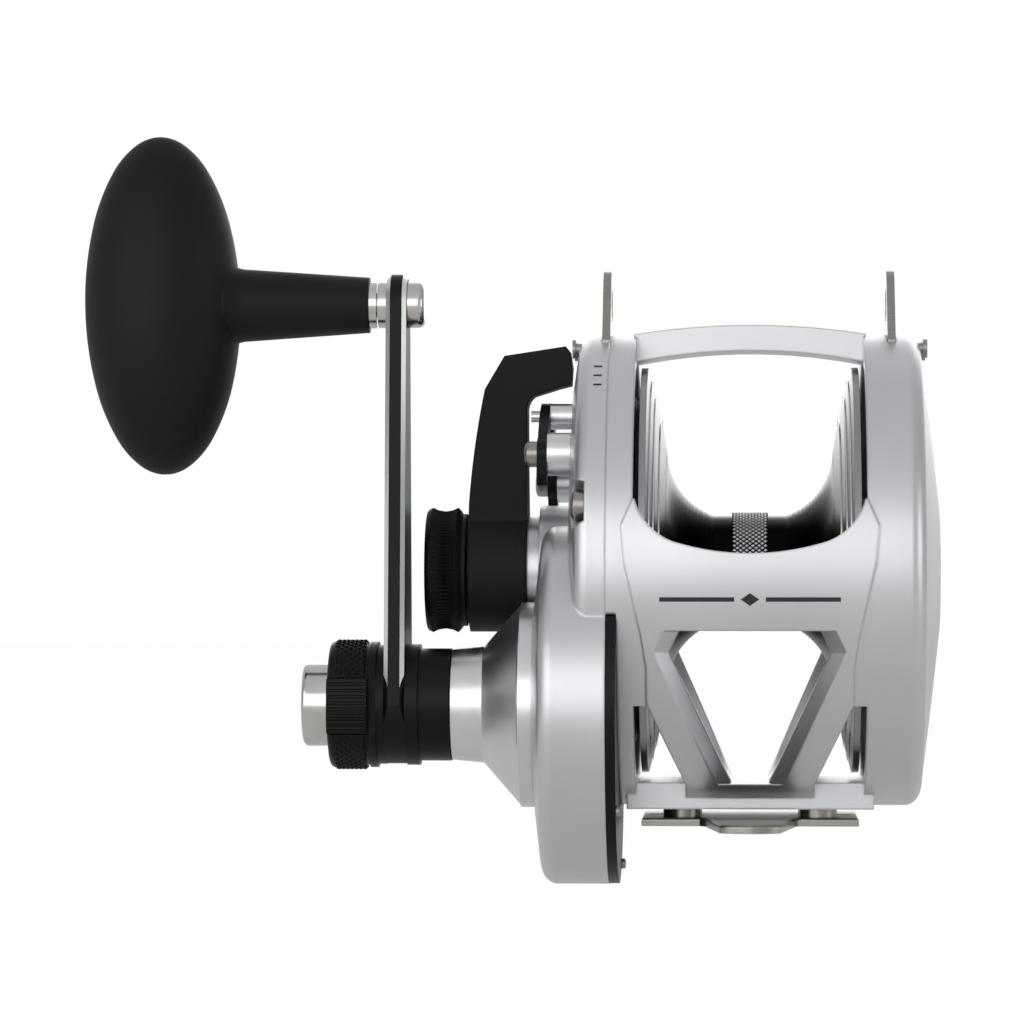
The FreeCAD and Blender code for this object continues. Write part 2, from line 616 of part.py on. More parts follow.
def spool():
    """Turned spool: thin conical flanges, a curved throat and hollows for bearings and springs."""
    half, rim, arbor, bore, seat = D.spool_half, D.spool_radius, D.arbor_radius, D.spool_bore, D.bearing_seat
    outline = [
        (-half, rim), (-half + D.rim_width, rim), (-half + 3.3, 36.0), (-17.7, 25.5, -15.0),
        (-7.6, arbor), (-3.6, arbor), (-3.6, arbor + 0.6), (3.6, arbor + 0.6), (3.6, arbor),
        (7.6, arbor, -15.0), (17.7, 25.5), (half - 3.3, 36.0), (half - D.rim_width, rim), (half, rim),
        (half, 21.5), (20.6, 18.6), (17.1, 13.4), (17.1, seat), (12.9, seat), (12.9, bore), (-9.4, bore),
        (-9.4, seat), (-17.1, seat), (-17.1, 13.4), (-20.6, 18.6), (-half, 21.5),
    ]
    keep("spool", turned("Spool", SPOOL, outline))
    fit = D.running_fit
    pair = [tube("SpoolBearing", SPOOL, x, x + 4.0, seat, D.shaft_radius + fit) for x in (-17.1, 13.0)]
    keep("spool_bearings", together(*pair))
    keep("drag_washer", tube("DragWasher", SPOOL, -half - D.washer_thickness, -half, D.washer_radius,
                             D.washer_bore))
    keep("click_gear", click_gear())


def click_gear():
    """A flanged hub on the tail side of the spool with a ring of click teeth."""
    count, root, tip = 30, 14.0, 15.0
    teeth = []
    for index in range(count):
        for radius, step in ((root, 0.0), (tip, 0.3), (tip, 0.6), (root, 0.9)):
            angle = 2 * math.pi * (index + step) / count
            teeth.append((radius * math.sin(angle), radius * math.cos(angle)))
    disc = plate("ClickTeeth", SPOOL, 23.8, 25.8, teeth)
    hub = tube("ClickHub", SPOOL, 17.1, 25.8, 9.2)
    bore = tube("ClickBore", SPOOL, 17.0, 26.0, 6.9)
    return without(fused(disc, hub), bore)


def drag():
    face = -D.spool_half - D.washer_thickness - D.drag_gap
    keep("drag_plate", tube("DragPlate", SPOOL, face - D.drag_plate_thickness, face, D.washer_radius + 0.6,
                            D.journal_radius))
    r = D.shaft_radius
    keep("spool_shaft", tube("SpoolShaft", SPOOL, -66.8, 36.2, r))
    keep("cam_follower", tube("Follower", SPOOL, -58.2, -54.8, 8.6, r))
    cups = [turned("Cup", SPOOL, [(x, r), (x + 0.7, 6.2), (x + 1.3, 6.2), (x + 0.6, r)])
            for x in (-12.6, -11.2)]
    keep("spring_washers", together(*cups))


# ----------------------------------------------------------------------------------- lever and quadrant


def drag_lever():
    """The lever: a side view (hub and tapered arm) shared with a front view (the hooked profile)."""
    inner, outer, hub, wide = D.lever_inner, D.lever_outer, D.lever_hub, D.lever_half_width
    front_view = through("LeverProfile", SPOOL, AWAY, [
        (outer, 14.0, 160.0), (-56.4, 38.5), (-52.2, 45.6), (-39.1, 47.6), (-38.3, 46.6), (-37.8, 43.2),
        (-38.0, 39.4), (-40.5, 38.8), (-45.9, 37.1, -3.5), (inner, 34.3), (inner, -hub - 1),
        (outer, -hub - 1)])
    arm = plate("LeverSide", SPOOL, -62.0, -36.0, [
        (-wide - 3.4, -1.0), (wide + 3.4, -1.0), (wide + 2.6, 12.0, 60.0), (wide - 0.6, 34.0), (wide, 49.0),
        (-wide, 49.0), (-wide + 0.6, 34.0, 60.0), (-wide - 2.6, 12.0)])
    hub_disc = tube("LeverHub", SPOOL, outer, inner, hub)
    upper = shared(front_view, arm)
    bore = tube("LeverBore", SPOOL, -54.2, inner + 1, D.nose_radius + D.gear_fit)
    chamber = tube("LeverChamber", SPOOL, -58.8, -54.1, 9.5)
    cam_seat = tube("CamSeat", SPOOL, -54.2, -51.0, 9.4)
    shaft_hole = tube("LeverShaftHole", SPOOL, outer - 1, -58.0, 3.4)
    keep("drag_lever", without(fused(upper, hub_disc), bore, chamber, cam_seat, shaft_hole))
    keep("drag_cam", tube("Cam", SPOOL, -54.1, -51.0, 9.4, D.nose_radius + D.gear_fit))


def quadrant():
    left, right = D.quadrant_left, D.quadrant_left + D.quadrant_thickness
    front, rear = 56.0, -70.0
    ring = tube("QuadrantRing", SPOOL, left, right, D.quadrant_outer, D.quadrant_inner)
    reach = [polar(AWAY, angle) for angle in (front, 35.0, 0.0, -35.0, rear)]
    sector = plate("QuadrantSector", SPOOL, left - 1, right + 1,
                   [(0.0, 0.0)] + [(corner.x, corner.y) for corner in reach])
    pads = [rod(SPOOL, left, right, 3.4, 33.6, angle) for angle in POST_ANGLES]
    holes = [rod(SPOOL, left - 1, right + 1, 1.2, 33.6, angle) for angle in POST_ANGLES]
    strike = rod(SPOOL, left - 1, right + 1, 1.35, D.quadrant_strike, STRIKE_ANGLE)
    keep("drag_quadrant", without(fused(shared(ring, sector), *pads), *holes, strike))
    posts = []
    for angle, radius in zip(POST_ANGLES, (4.5, 4.0)):
        solid = rod(SPOOL, right, -36.7, radius, 33.6, angle)
        hole = rod(SPOOL, right - 1, -36.0, 1.2, 33.6, angle)
        posts.append(without(solid, hole))
    housing = rod(SPOOL, right, -36.9, 2.75, D.quadrant_strike, STRIKE_ANGLE)
    bore = rod(SPOOL, right - 1, -36.0, 1.35, D.quadrant_strike, STRIKE_ANGLE)
    posts.append(without(housing, bore))
    keep("quadrant_posts", together(*[without(post, side_plate_skin()) for post in posts]))
    screws = [fused(rod(SPOOL, left, -36.5, 1.2, 33.6, angle), rod(SPOOL, left - 1.9, left, 2.7, 33.6, angle))
              for angle in POST_ANGLES]
    keep("quadrant_screws", together(*screws))
    keep("strike_button", rod(SPOOL, -46.3, -39.0, 1.2, D.quadrant_strike, STRIKE_ANGLE))


def side_plate_skin():
    """The outer face of the side plate's dome, which the posts stand on."""
    return turned("Skin", SPOOL, [(-30.0, 0.0), (-30.0, 48.0), (-36.0, 48.0), (-37.1, 40.0),
                                  (-D.plate_face, 24.0), (-D.plate_face, 0.0)])


def preset_knob():
    left, right, radius = D.preset_left, D.preset_right, D.preset_radius
    keep("preset_knob", turned("Preset", SPOOL, [
        (left, 0.0), (left, radius - 1.2, 1.2), (left + 1.2, radius), (left + 3.9, radius - 1.3),
        (right - 2.0, radius), (right - 0.8, radius - 1.2), (right, radius - 1.2), (right, D.shaft_radius),
        (-66.8, D.shaft_radius), (-66.8, 0.0)]))


# ---------------------------------------------------------------------------------------- crank and knob


def crank():
    near, far, hub, end = D.arm_near, D.arm_far, D.arm_hub, D.arm_end
    length = D.crank_radius
    outline = [(-hub, 0.0), (-end, length, end + 0.01), (end, length), (hub, 0.0, hub + 0.01)]
    arm = plate("CrankArm", HANDLE, far, near, outline)
    dressed(arm, "Chamfer", D.arm_bevel, lambda edge, middle: middle.z > float(hub) and (
        abs(middle.x - float(near)) < 0.01 or abs(middle.x - float(far)) < 0.01))
    shaft_hole = tube("ArmShaftHole", HANDLE, far - 1, near + 1, D.handle_shaft_radius)
    spindle_hole = tube("ArmSpindleHole", KNOB, far - 1, near + 1, D.spindle_radius)
    keep("crank_arm", without(arm, shaft_hole, spindle_hole))
    keep("hub_sleeve", turned("HubSleeve", HANDLE, [
        (near, D.handle_shaft_radius), (near, D.flange_radius), (near + 2.7, D.flange_radius),
        (near + 2.7, D.sleeve_radius), (-62.6, D.sleeve_radius), (-62.6, D.handle_shaft_radius)]))


def shift_collar():
    """Knurled collar on the crank's hub, with the bore for the shift button and the slot for its release."""
    r, far = D.collar_radius, D.arm_far
    ring = turned("Collar", HANDLE, [
        (-88.1, D.button_radius + 0.1), (-88.1, r - 1.2, 1.2), (-86.9, r), (-80.4, r), (-80.4, r - 0.7),
        (-79.6, r - 0.7), (-79.6, r - 0.1), (-78.0, r - 0.1), (-78.0, r - 0.8), (far, r - 0.8),
        (far, D.handle_shaft_radius), (-80.2, D.handle_shaft_radius), (-80.2, 1.75), (-82.6, 1.75),
        (-82.6, D.button_radius + 0.1)])
    slide_way = block(HANDLE, (-88.6, -78.0), (-AWAY, -10.6), (-6.0, 6.0))
    lock_way = block(HANDLE, (-84.6, -81.4), (-11.0, -9.0), (-2.0, 2.0))
    keep("knurled_collar", without(ring, slide_way, lock_way))
    tab = plate("Tab", HANDLE, -88.0, -79.6, [
        (-10.7, -5.7), (-10.7, 5.7), (-13.6, 5.7, -18.0), (-13.6, -5.7)])
    lock = block(HANDLE, (-84.4, -83.1), (-11.2, -9.4), (-1.7, 1.7))
    keep("shift_release", fused(tab, lock))


def shift_button():
    cup = tube("ButtonCup", HANDLE, -93.8, -86.6, D.button_radius)
    button = dressed(cup, "Fillet", 1.1, circle_at(-93.8, D.button_radius))
    stem = tube("ShiftStem", HANDLE, -86.6, -42.0, 1.7)
    key = tube("ShiftKey", HANDLE, -42.0, -39.6, 3.3)
    keep("shift_button", button)
    keep("shift_rod", fused(stem, key))
    keep("shift_spring", tube("Spring", HANDLE, -34.4, -29.7, 3.2, 2.4))


def egg_outline():
    """Half section of the egg: an ellipse as a run of arcs, with a small flat at each tip."""
    def point(angle):
        turn = math.radians(angle)
        return (D.knob_girth * math.cos(turn), D.knob_half_length * math.sin(turn))

    angles = (-87.0, -72.0, -52.0, -27.0, 0.0, 27.0, 52.0, 72.0, 87.0)
    corners = [(0.0, point(angles[0])[1])]
    for start, end in zip(angles, angles[1:]):
        near, middle, far = (Vector(float(u), float(v), 0) for u, v in
                             (point(start), point((start + end) / 2), point(end)))
        corners.append(point(start) + (-Part.Circle(near, middle, far).Radius,))
    return corners + [point(angles[-1]), (0.0, point(angles[-1])[1])]


def knob():
    """Egg-shaped grip across a long neck, on a sleeve that turns on the crank's spindle."""
    egg = turned("Egg", KNOB, egg_outline(), about="V_Axis")
    egg.Placement = Placement(Vector(), Rotation(Vector(0, 1, 0), -float(D.knob_tilt)))
    place(egg, KNOB, D.knob_x)
    neck = turned("Neck", KNOB, [
        (-122.0, 0.0), (-122.0, 9.5), (-110.0, 9.5, -6.0), (-105.5, D.neck_root_radius - 0.4),
        (-80.0, D.neck_radius), (-80.0, 0.0)])
    core_hole = tube("KnobHole", KNOB, -105.0, -79.0, 4.2)
    keep("knob", without(fused(egg, neck), core_hole))
    keep("knob_sleeve", turned("KnobSleeve", KNOB, [
        (-105.0, D.spindle_radius + 0.05), (-105.0, 4.2), (-80.0, 4.2), (-80.0, 4.9), (-78.3, 4.9),
        (-78.3, D.spindle_radius + 0.05)]))
    keep("knob_spindle", turned("Spindle", KNOB, [
        (-104.2, 0.0), (-104.2, D.spindle_radius), (-78.1, D.spindle_radius), (-78.1, 4.85),
        (D.arm_far, 4.85), (D.arm_far, D.spindle_radius), (-70.4, D.spindle_radius), (-70.4, 0.0)]))
    keep("knob_nut", turned("KnobNut", KNOB, [
        (D.arm_near, D.spindle_radius), (D.arm_near, 4.8), (-69.6, 4.8, 1.4), (-68.3, 3.4), (-68.1, 0.0),
        (-70.4, 0.0), (-70.4, D.spindle_radius)]))


# ----------------------------------------------------------------------- foot, lugs, screws and the clicker


def foot():
    wing, deep, reach, tip, root = D.foot_wing, D.foot_half_depth, D.foot_reach, D.foot_tip, D.foot_root
    base = flat("Foot", 0.0, D.foot_thickness, [
        (wing, -deep), (wing, deep), (root + 0.6, deep, 2.5), (root - 0.6, deep + 2.5),
        (tip, reach - 2.4, -9.0), (-tip, reach - 2.4), (-root + 0.6, deep + 2.5, 2.5),
        (-root - 0.6, deep), (-wing, deep), (-wing, -deep), (-root - 0.6, -deep, 2.5),
        (-root + 0.6, -deep - 2.5), (-tip, 2.4 - reach, -9.0), (tip, 2.4 - reach),
        (root - 0.6, -deep - 2.5, 2.5), (root + 0.6, -deep)])
    body = dressed(base, "Fillet", 0.6, lambda edge, middle: abs(middle.z - float(D.foot_thickness)) < 0.01)
    cuts, spacers, screws = [], [], []
    for side in (-1, 1):
        cuts.append(clamp_slot(side * D.foot_slot_x, D.foot_slot_radius, 0.9))
        for way in (-1, 1):
            x, y = side * D.foot_screw_x, way * D.foot_screw_y
            cuts += [upright(x, y, -1.0, 4.0, 1.9), upright(x, y, -1.0, 1.0, 3.2)]
            ring = without(upright(x, y, D.foot_thickness, D.axis_height - D.base_drop, D.spacer_radius),
                           upright(x, y, 0.0, 5.0, 1.9))
            spacers.append(ring)
            screws.append(fused(upright(x, y, 0.05, 1.0, 3.1), upright(x, y, 1.0, 7.8, 1.9)))
    keep("reel_foot", without(body, *cuts))
    keep("foot_spacers", together(*spacers))
    keep("foot_screws", together(*screws))


def clamp_slot(x, half_width, half_run):
    """A slot through the foot's wing for a clamp stud, its long side along X."""
    ends = [upright(x + way * half_run, 0.0, -1.0, 4.0, half_width) for way in (-1, 1)]
    middle = block((0.0, 0.0), (x - half_run, x + half_run), (-half_width, half_width), (-1.0, 4.0))
    return fused(*ends, middle)


def harness_lug(label, x0):
    top, low, deep = D.lug_top, D.lug_bottom, D.lug_half_depth
    body = plate(label, SPOOL, x0, x0 + D.lug_thickness, [
        (-deep, low), (-deep, low + 3.5), (-6.2, top - 3.6, 7.3), (6.2, top - 3.6), (deep, low + 3.5),
        (deep, low)])
    eye = rod(SPOOL, x0 - 1, x0 + D.lug_thickness + 1, D.lug_hole, top - 7.6)
    holes = [rod(SPOOL, x0 - 1, x0 + D.lug_thickness + 1, 1.2, 47.3, angle) for angle in LUG_SCREW_ANGLES]
    keep(label, without(body, eye, *holes))


def lugs_and_screws():
    harness_lug("harness_lug_handle_side", D.seam_x - D.lug_thickness)
    harness_lug("harness_lug_tail_side", 28.95)
    screws = []
    for angle in LUG_SCREW_ANGLES:
        left = fused(rod(SPOOL, -37.0, -26.6, 1.2, 47.3, angle), rod(SPOOL, -37.6, -36.9, 2.0, 47.3, angle))
        right = fused(rod(SPOOL, 26.6, 36.9, 1.2, 47.3, angle), rod(SPOOL, 36.6, 37.5, 2.0, 47.3, angle))
        screws += [left, right]
    keep("lug_screws", together(*screws))
    rim = [fused(rod(SPOOL, -33.8, -25.6, 1.4, 46.2, angle), rod(SPOOL, -35.6, -33.8, 3.3, 46.2, angle))
           for angle in RIM_SCREW_ANGLES]
    keep("side_plate_screws", together(*rim))
    back = [fused(rod(HANDLE, -34.5, -27.3, 0.9, 36.3, angle), rod(HANDLE, -27.3, -26.7, 1.1, 36.3, angle))
            for angle in BACK_SCREW_ANGLES]
    keep("back_plate_screws", together(*back))


def clicker():
    """Click button on the tail plate's rear half, its stem through the wall and its pawl inside."""
    cap = plate("ClickCap", SPOOL, 38.6, 40.7, [(24.6, -4.0), (30.4, -4.0), (30.4, 4.0), (24.6, 4.0)])
    button = dressed(cap, "Fillet", 0.8, lambda edge, middle: middle.x > 40.69)
    stem = rod((SPOOL[0] + 27.4, SPOOL[1]), 26.3, 38.6, 1.5)
    keep("clicker_button", fused(button, stem))
    pivot = rod((SPOOL[0] + 27.4, SPOOL[1]), 23.9, 26.3, 1.0)
    keep("pawl_pivot", pivot)
    heel = rod((SPOOL[0] + 27.4, SPOOL[1]), 24.0, 25.8, 2.4)
    arm = plate("ClickArm", SPOOL, 24.0, 25.8, [
        (27.4, -2.2), (19.8, -0.5), (19.0, 0.0), (19.8, 0.5), (27.4, 2.2)])
    hole = rod((SPOOL[0] + 27.4, SPOOL[1]), 23.0, 27.0, 1.05)
    keep("click_pawl", without(fused(heel, arm), hole))


# ------------------------------------------------------------------------------------ build, check, write


def build():
    for make in (frame, handle_side_plate, gear_housing_cap, gear_case_back, bearings, gears, handle_shaft,
                 ratchet_and_pawls, spool, drag, drag_lever, quadrant, preset_knob, crank, shift_collar,
                 shift_button, knob, foot, lugs_and_screws, clicker):
        make()
    DOC.recompute()


def check():
    for item in DOC.Objects:
        if "Invalid" in item.State or "Error" in item.State:
            sys.exit(f"{item.Name} ({item.Label}) failed: {item.State}")
    for label, item in NODES.items():
        shape = item.Shape
        if shape.isNull() or not shape.isValid() or not shape.Solids:
            sys.exit(f"{label} has no valid solid")


def write():
    os.makedirs("parts", exist_ok=True)
    for label, item in NODES.items():
        item.Shape.exportStep(f"parts/{label}.step")
        box = item.Shape.BoundBox
        print(f"{label:26s} {len(item.Shape.Solids):2d} solid(s) {item.Shape.Volume:10.1f} mm3 "
              f"x {box.XMin:7.1f}..{box.XMax:6.1f} y {box.YMin:6.1f}..{box.YMax:5.1f} "
              f"z {box.ZMin:6.1f}..{box.ZMax:6.1f}")
    print(len(NODES), "nodes")


build()
check()
write()
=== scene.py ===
import json
import math

import bmesh
import bpy
from bpy.props import FloatProperty, FloatVectorProperty, IntProperty, PointerProperty
from mathutils import Matrix, Vector


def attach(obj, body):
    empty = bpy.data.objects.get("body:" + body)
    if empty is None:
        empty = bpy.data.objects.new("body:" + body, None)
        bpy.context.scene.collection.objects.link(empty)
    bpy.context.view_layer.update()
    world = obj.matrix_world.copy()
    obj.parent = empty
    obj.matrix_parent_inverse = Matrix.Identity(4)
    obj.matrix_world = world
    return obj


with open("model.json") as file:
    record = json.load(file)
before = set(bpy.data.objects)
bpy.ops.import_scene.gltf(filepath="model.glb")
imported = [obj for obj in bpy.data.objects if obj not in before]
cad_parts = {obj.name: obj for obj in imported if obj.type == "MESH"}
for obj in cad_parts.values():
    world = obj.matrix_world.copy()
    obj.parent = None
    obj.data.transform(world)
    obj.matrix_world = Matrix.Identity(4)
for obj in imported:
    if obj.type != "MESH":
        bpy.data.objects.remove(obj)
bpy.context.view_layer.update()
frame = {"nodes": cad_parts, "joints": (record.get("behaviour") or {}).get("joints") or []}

bl_info = {
    "name": "Trolling reel",
    "version": (1, 0, 0),
    "blender": (4, 5, 0),
    "location": "View3D > Sidebar > Reel",
    "description": "Dresses the packed trolling reel: finishes, knurls, ribs, screws and a studio",
    "category": "Object",
}

NODES = frame["nodes"]
PIVOTS = {joint["name"]: Vector(joint["pos_m"]) for joint in frame["joints"] if joint.get("pos_m")}
SPOOL_AXIS = Vector((0.0, 0.0, PIVOTS["pinion_turn"].z))
HANDLE_AXIS = Vector((0.0, PIVOTS["crank_turn"].y, PIVOTS["crank_turn"].z))
KNOB_AXIS = Vector((0.0, PIVOTS["knob_turn"].y, PIVOTS["knob_turn"].z))
MM = 0.001
COLLAR_SLOT_FRONT = 28.3


def linear(code):
    """An sRGB hex colour as linear red, green, blue and alpha."""
    parts = [int(code[start:start + 2], 16) / 255 for start in (1, 3, 5)]
    return [part / 12.92 if part <= 0.04045 else ((part + 0.055) / 1.055) ** 2.4 for part in parts] + [1.0]


# ------------------------------------------------------------------------------------------- node helper


def add(tree, kind, settings=None, **sockets):
    """Add a node: settings are its own properties, sockets are values or links for its inputs."""
    made = tree.nodes.new(kind)
    for name, setting in (settings or {}).items():
        setattr(made, name, setting)
    for name, given in sockets.items():
        key = int(name[1:]) if name[1:].isdigit() else name.replace("_", " ")
        if isinstance(given, bpy.types.NodeSocket):
            tree.links.new(given, made.inputs[key])
        else:
            made.inputs[key].default_value = given
    return made


def surface(name, hex_colour, metallic, roughness, edge=0.25, **sockets):
    """A new material: its tree, its shader and a normal that rounds every sharp edge by `edge` mm."""
    material = bpy.data.materials.new(name)
    material.use_nodes = True
    tree = material.node_tree
    shader = tree.nodes["Principled BSDF"]
    shader.inputs["Base Color"].default_value = linear(hex_colour)
    shader.inputs["Metallic"].default_value = metallic
    shader.inputs["Roughness"].default_value = roughness
    for socket, number in sockets.items():
        shader.inputs[socket.replace("_", " ")].default_value = number
    rounded = add(tree, "ShaderNodeBevel", {"samples": 4}, Radius=edge * MM)
    return material, tree, shader, rounded.outputs["Normal"]


def from_axis(tree, axis):
    """Distance from an axis parallel to X, in metres, in the piece's own coordinates."""
    place = add(tree, "ShaderNodeTexCoord").outputs["Object"]
    offset = add(tree, "ShaderNodeVectorMath", {"operation": "SUBTRACT"}, i0=place, i1=tuple(axis))
    flat = add(tree, "ShaderNodeVectorMath", {"operation": "MULTIPLY"}, i0=offset.outputs[0], i1=(0, 1, 1))
    return add(tree, "ShaderNodeVectorMath", {"operation": "LENGTH"}, i0=flat.outputs[0]).outputs["Value"]


def grain(tree, size, stretch=(1.0, 1.0, 1.0), detail=2.0):
    """Noise whose grains are `size` mm across, drawn out along the axes whose stretch is under 1."""
    place = add(tree, "ShaderNodeTexCoord").outputs["Object"]
    scaled = add(tree, "ShaderNodeVectorMath", {"operation": "MULTIPLY"}, i0=place, i1=stretch)
    noise = add(tree, "ShaderNodeTexNoise", Vector=scaled.outputs[0], Scale=1.0 / (size * MM), Detail=detail)
    return noise.outputs["Fac"]


def between(tree, factor, low, high, from_low=0.0, from_high=1.0):
    """Map a factor to a range of numbers."""
    return add(tree, "ShaderNodeMapRange", None, Value=factor, From_Min=from_low, From_Max=from_high,
               To_Min=low, To_Max=high).outputs["Result"]


def blended(tree, factor, low, high):
    """Mix two colours by a factor."""
    mix = add(tree, "ShaderNodeMix", {"data_type": "RGBA"}, Factor=factor, i6=low, i7=high)
    return mix.outputs[2]


def relief(tree, shader, normal, height, depth, strength=1.0):
    """Give the shader a bump of `depth` mm on top of a normal."""
    bump = add(tree, "ShaderNodeBump", None, Strength=strength, Distance=depth * MM, Height=height,
               Normal=normal)
    tree.links.new(bump.outputs["Normal"], shader.inputs["Normal"])
    return bump.outputs["Normal"]


# ---------------------------------------------------------------------------------------------- finishes


def satin_silver(colours):
    """Cast aluminium under satin metallic enamel: soft broad highlights with a fine sparkle of flake."""
    material, tree, shader, normal = surface("satin_silver_enamel", "#d0d2d5", 0.9, 0.36, edge=0.7)
    flake = grain(tree, 0.35, detail=1.0)
    cloud = grain(tree, 28.0)
    tint = blended(tree, between(tree, cloud, 0.0, 1.0, 0.3, 0.7), list(colours.silver) + [1.0],
                   [part * 0.93 for part in colours.silver] + [1.0])
    tree.links.new(tint, shader.inputs["Base Color"])
    tree.links.new(between(tree, flake, 0.28, 0.40), shader.inputs["Roughness"])
    relief(tree, shader, normal, flake, 0.006)
    return material


def turned_silver(colours, axis, name):
    """Aluminium faced on a lathe and clear anodised: fine rings round the axis, brighter than the enamel."""
    material, tree, shader, normal = surface(name, "#dcdee0", 1.0, 0.3, edge=0.3)
    distance = from_axis(tree, axis)
    ripple = add(tree, "ShaderNodeMath", {"operation": "SINE"},
                 i0=add(tree, "ShaderNodeMath", {"operation": "MULTIPLY"}, i0=distance,
                        i1=2 * math.pi / (0.45 * MM)).outputs[0]).outputs[0]
    tree.links.new(between(tree, ripple, 0.28, 0.34, -1.0), shader.inputs["Roughness"])
    tree.links.new(blended(tree, between(tree, grain(tree, 12.0), 0.0, 1.0, 0.3, 0.7),
                           list(colours.machined) + [1.0],
                           [part * 0.94 for part in colours.machined] + [1.0]), shader.inputs["Base Color"])
    relief(tree, shader, normal, ripple, 0.0012)
    return material


def spool_finish_with_painted_shade(colours):
    """Polished anodised spool, ringed by the lathe; its colour falls from silver at the flange rims to gloss black on
    the arbor, a painted shade deepening into the well between the flanges.
    """
    material, tree, shader, normal = surface("anodised_spool", "#c3c5c8", 1.0, 0.2, edge=0.2)
    distance = from_axis(tree, SPOOL_AXIS)
    # painted shade: the base colour darkens smoothly with nearness to the spool axis, as shade deepens into the spool's
    # well
    ramp = add(tree, "ShaderNodeValToRGB", None,
               Fac=between(tree, distance, 0.0, 1.0, 10.0 * MM, 45.0 * MM))
    painted_shade_stops = ramp.color_ramp
    painted_shade_stops.elements[0].color = linear("#0b0b0c")
    painted_shade_stops.elements[1].position = 1.0
    painted_shade_stops.elements[1].color = linear("#9c9ea1")
    for position, code in ((0.16, "#0c0c0d"), (0.30, "#2e2f31"), (0.48, "#66686b"), (0.72, "#8a8c8f")):
        stop = painted_shade_stops.elements.new(position)
        stop.color = linear(code)
    tree.links.new(ramp.outputs["Color"], shader.inputs["Base Color"])
    ripple = add(tree, "ShaderNodeMath", {"operation": "SINE"},
                 i0=add(tree, "ShaderNodeMath", {"operation": "MULTIPLY"}, i0=distance,
                        i1=2 * math.pi / (0.6 * MM)).outputs[0]).outputs[0]
    tree.links.new(between(tree, ripple, 0.26, 0.32, -1.0), shader.inputs["Roughness"])
    relief(tree, shader, normal, ripple, 0.0008)
    return material


def black_anodised(colours):
    """Hard-anodised black aluminium: satin, with a slightly lighter worn look on the grain."""
    material, tree, shader, normal = surface("black_anodised", "#0d0e0f", 0.0, 0.42, edge=0.2, Specular_IOR_Level=0.16)
    speck = grain(tree, 0.3)
    tree.links.new(blended(tree, speck, linear("#08090a"), linear("#121314")), shader.inputs["Base Color"])
    tree.links.new(between(tree, speck, 0.30, 0.42), shader.inputs["Roughness"])
    relief(tree, shader, normal, speck, 0.005)
    return material


def black_arm(colours):
    """Black anodised bar whose bevels were milled afterwards, so they show bare bright aluminium."""
    material, tree, shader, normal = surface("milled_black_arm", "#0b0c0d", 0.0, 0.4, edge=0.06, Specular_IOR_Level=0.2)
    facing = add(tree, "ShaderNodeNewGeometry").outputs["True Normal"]
    across = add(tree, "ShaderNodeMath", {"operation": "ABSOLUTE"},
                 i0=add(tree, "ShaderNodeSeparateXYZ", None, Vector=facing).outputs["X"]).outputs[0]
    tilted = add(tree, "ShaderNodeMath", {"operation": "MULTIPLY"},
                 i0=add(tree, "ShaderNodeMath", {"operation": "GREATER_THAN"}, i0=across, i1=0.3).outputs[0],
                 i1=add(tree, "ShaderNodeMath", {"operation": "LESS_THAN"}, i0=across, i1=0.95).outputs[0])
    beyond_hub = add(tree, "ShaderNodeMath", {"operation": "GREATER_THAN"}, i0=from_axis(tree, HANDLE_AXIS),
                     i1=13.2 * MM)
    bare = add(tree, "ShaderNodeMath", {"operation": "MULTIPLY"}, i0=tilted.outputs[0],
               i1=beyond_hub.outputs[0]).outputs[0]
    scratch = grain(tree, 0.4, (1.0, 1.0, 0.05))
    tree.links.new(blended(tree, bare, linear("#0a0b0c"), linear("#f0f1f2")), shader.inputs["Base Color"])
    tree.links.new(bare, shader.inputs["Metallic"])
    tree.links.new(between(tree, scratch, 0.38, 0.50), shader.inputs["Roughness"])
    relief(tree, shader, normal, scratch, 0.001)
    return material


def lever_black(colours):
    """Bead-blasted, matt black anodised aluminium."""
    material, tree, shader, normal = surface("matt_black_lever", "#0c0c0d", 0.0, 0.6, edge=0.7, Specular_IOR_Level=0.25)
    blast = grain(tree, 0.28, detail=3.0)
    tree.links.new(blended(tree, blast, linear("#09090a"), linear("#121213")), shader.inputs["Base Color"])
    tree.links.new(between(tree, blast, 0.52, 0.68), shader.inputs["Roughness"])
    relief(tree, shader, normal, blast, 0.012)
    return material


def moulded_rubber(colours):
    """Dense moulded rubber grip: near black, dull, with a fine leathery skin and faint rubbed patches."""
    material, tree, shader, normal = surface("moulded_rubber", "#0b0b0c", 0.0, 0.58, edge=0.3, IOR=1.52, Specular_IOR_Level=0.22)
    skin = grain(tree, 0.5, detail=4.0)
    rubbed = grain(tree, 22.0)
    tree.links.new(blended(tree, rubbed, list(colours.rubber) + [1.0],
                           [part * 1.7 for part in colours.rubber] + [1.0]), shader.inputs["Base Color"])
    tree.links.new(between(tree, rubbed, 0.50, 0.64, 0.3, 0.7), shader.inputs["Roughness"])
    relief(tree, shader, normal, skin, 0.02)
    return material


def brushed_stainless(colours):
    """Stamped stainless sheet, brushed along X: a warm grey with hair-fine lines."""
    material, tree, shader, normal = surface("brushed_stainless", "#a9a7a2", 1.0, 0.26, edge=0.25)
    hair = grain(tree, 0.3, (0.03, 1.0, 1.0), detail=3.0)
    tree.links.new(blended(tree, hair, linear("#84827c"), linear("#aaa8a3")), shader.inputs["Base Color"])
    tree.links.new(between(tree, hair, 0.24, 0.34), shader.inputs["Roughness"])
    relief(tree, shader, normal, hair, 0.0008)
    return material


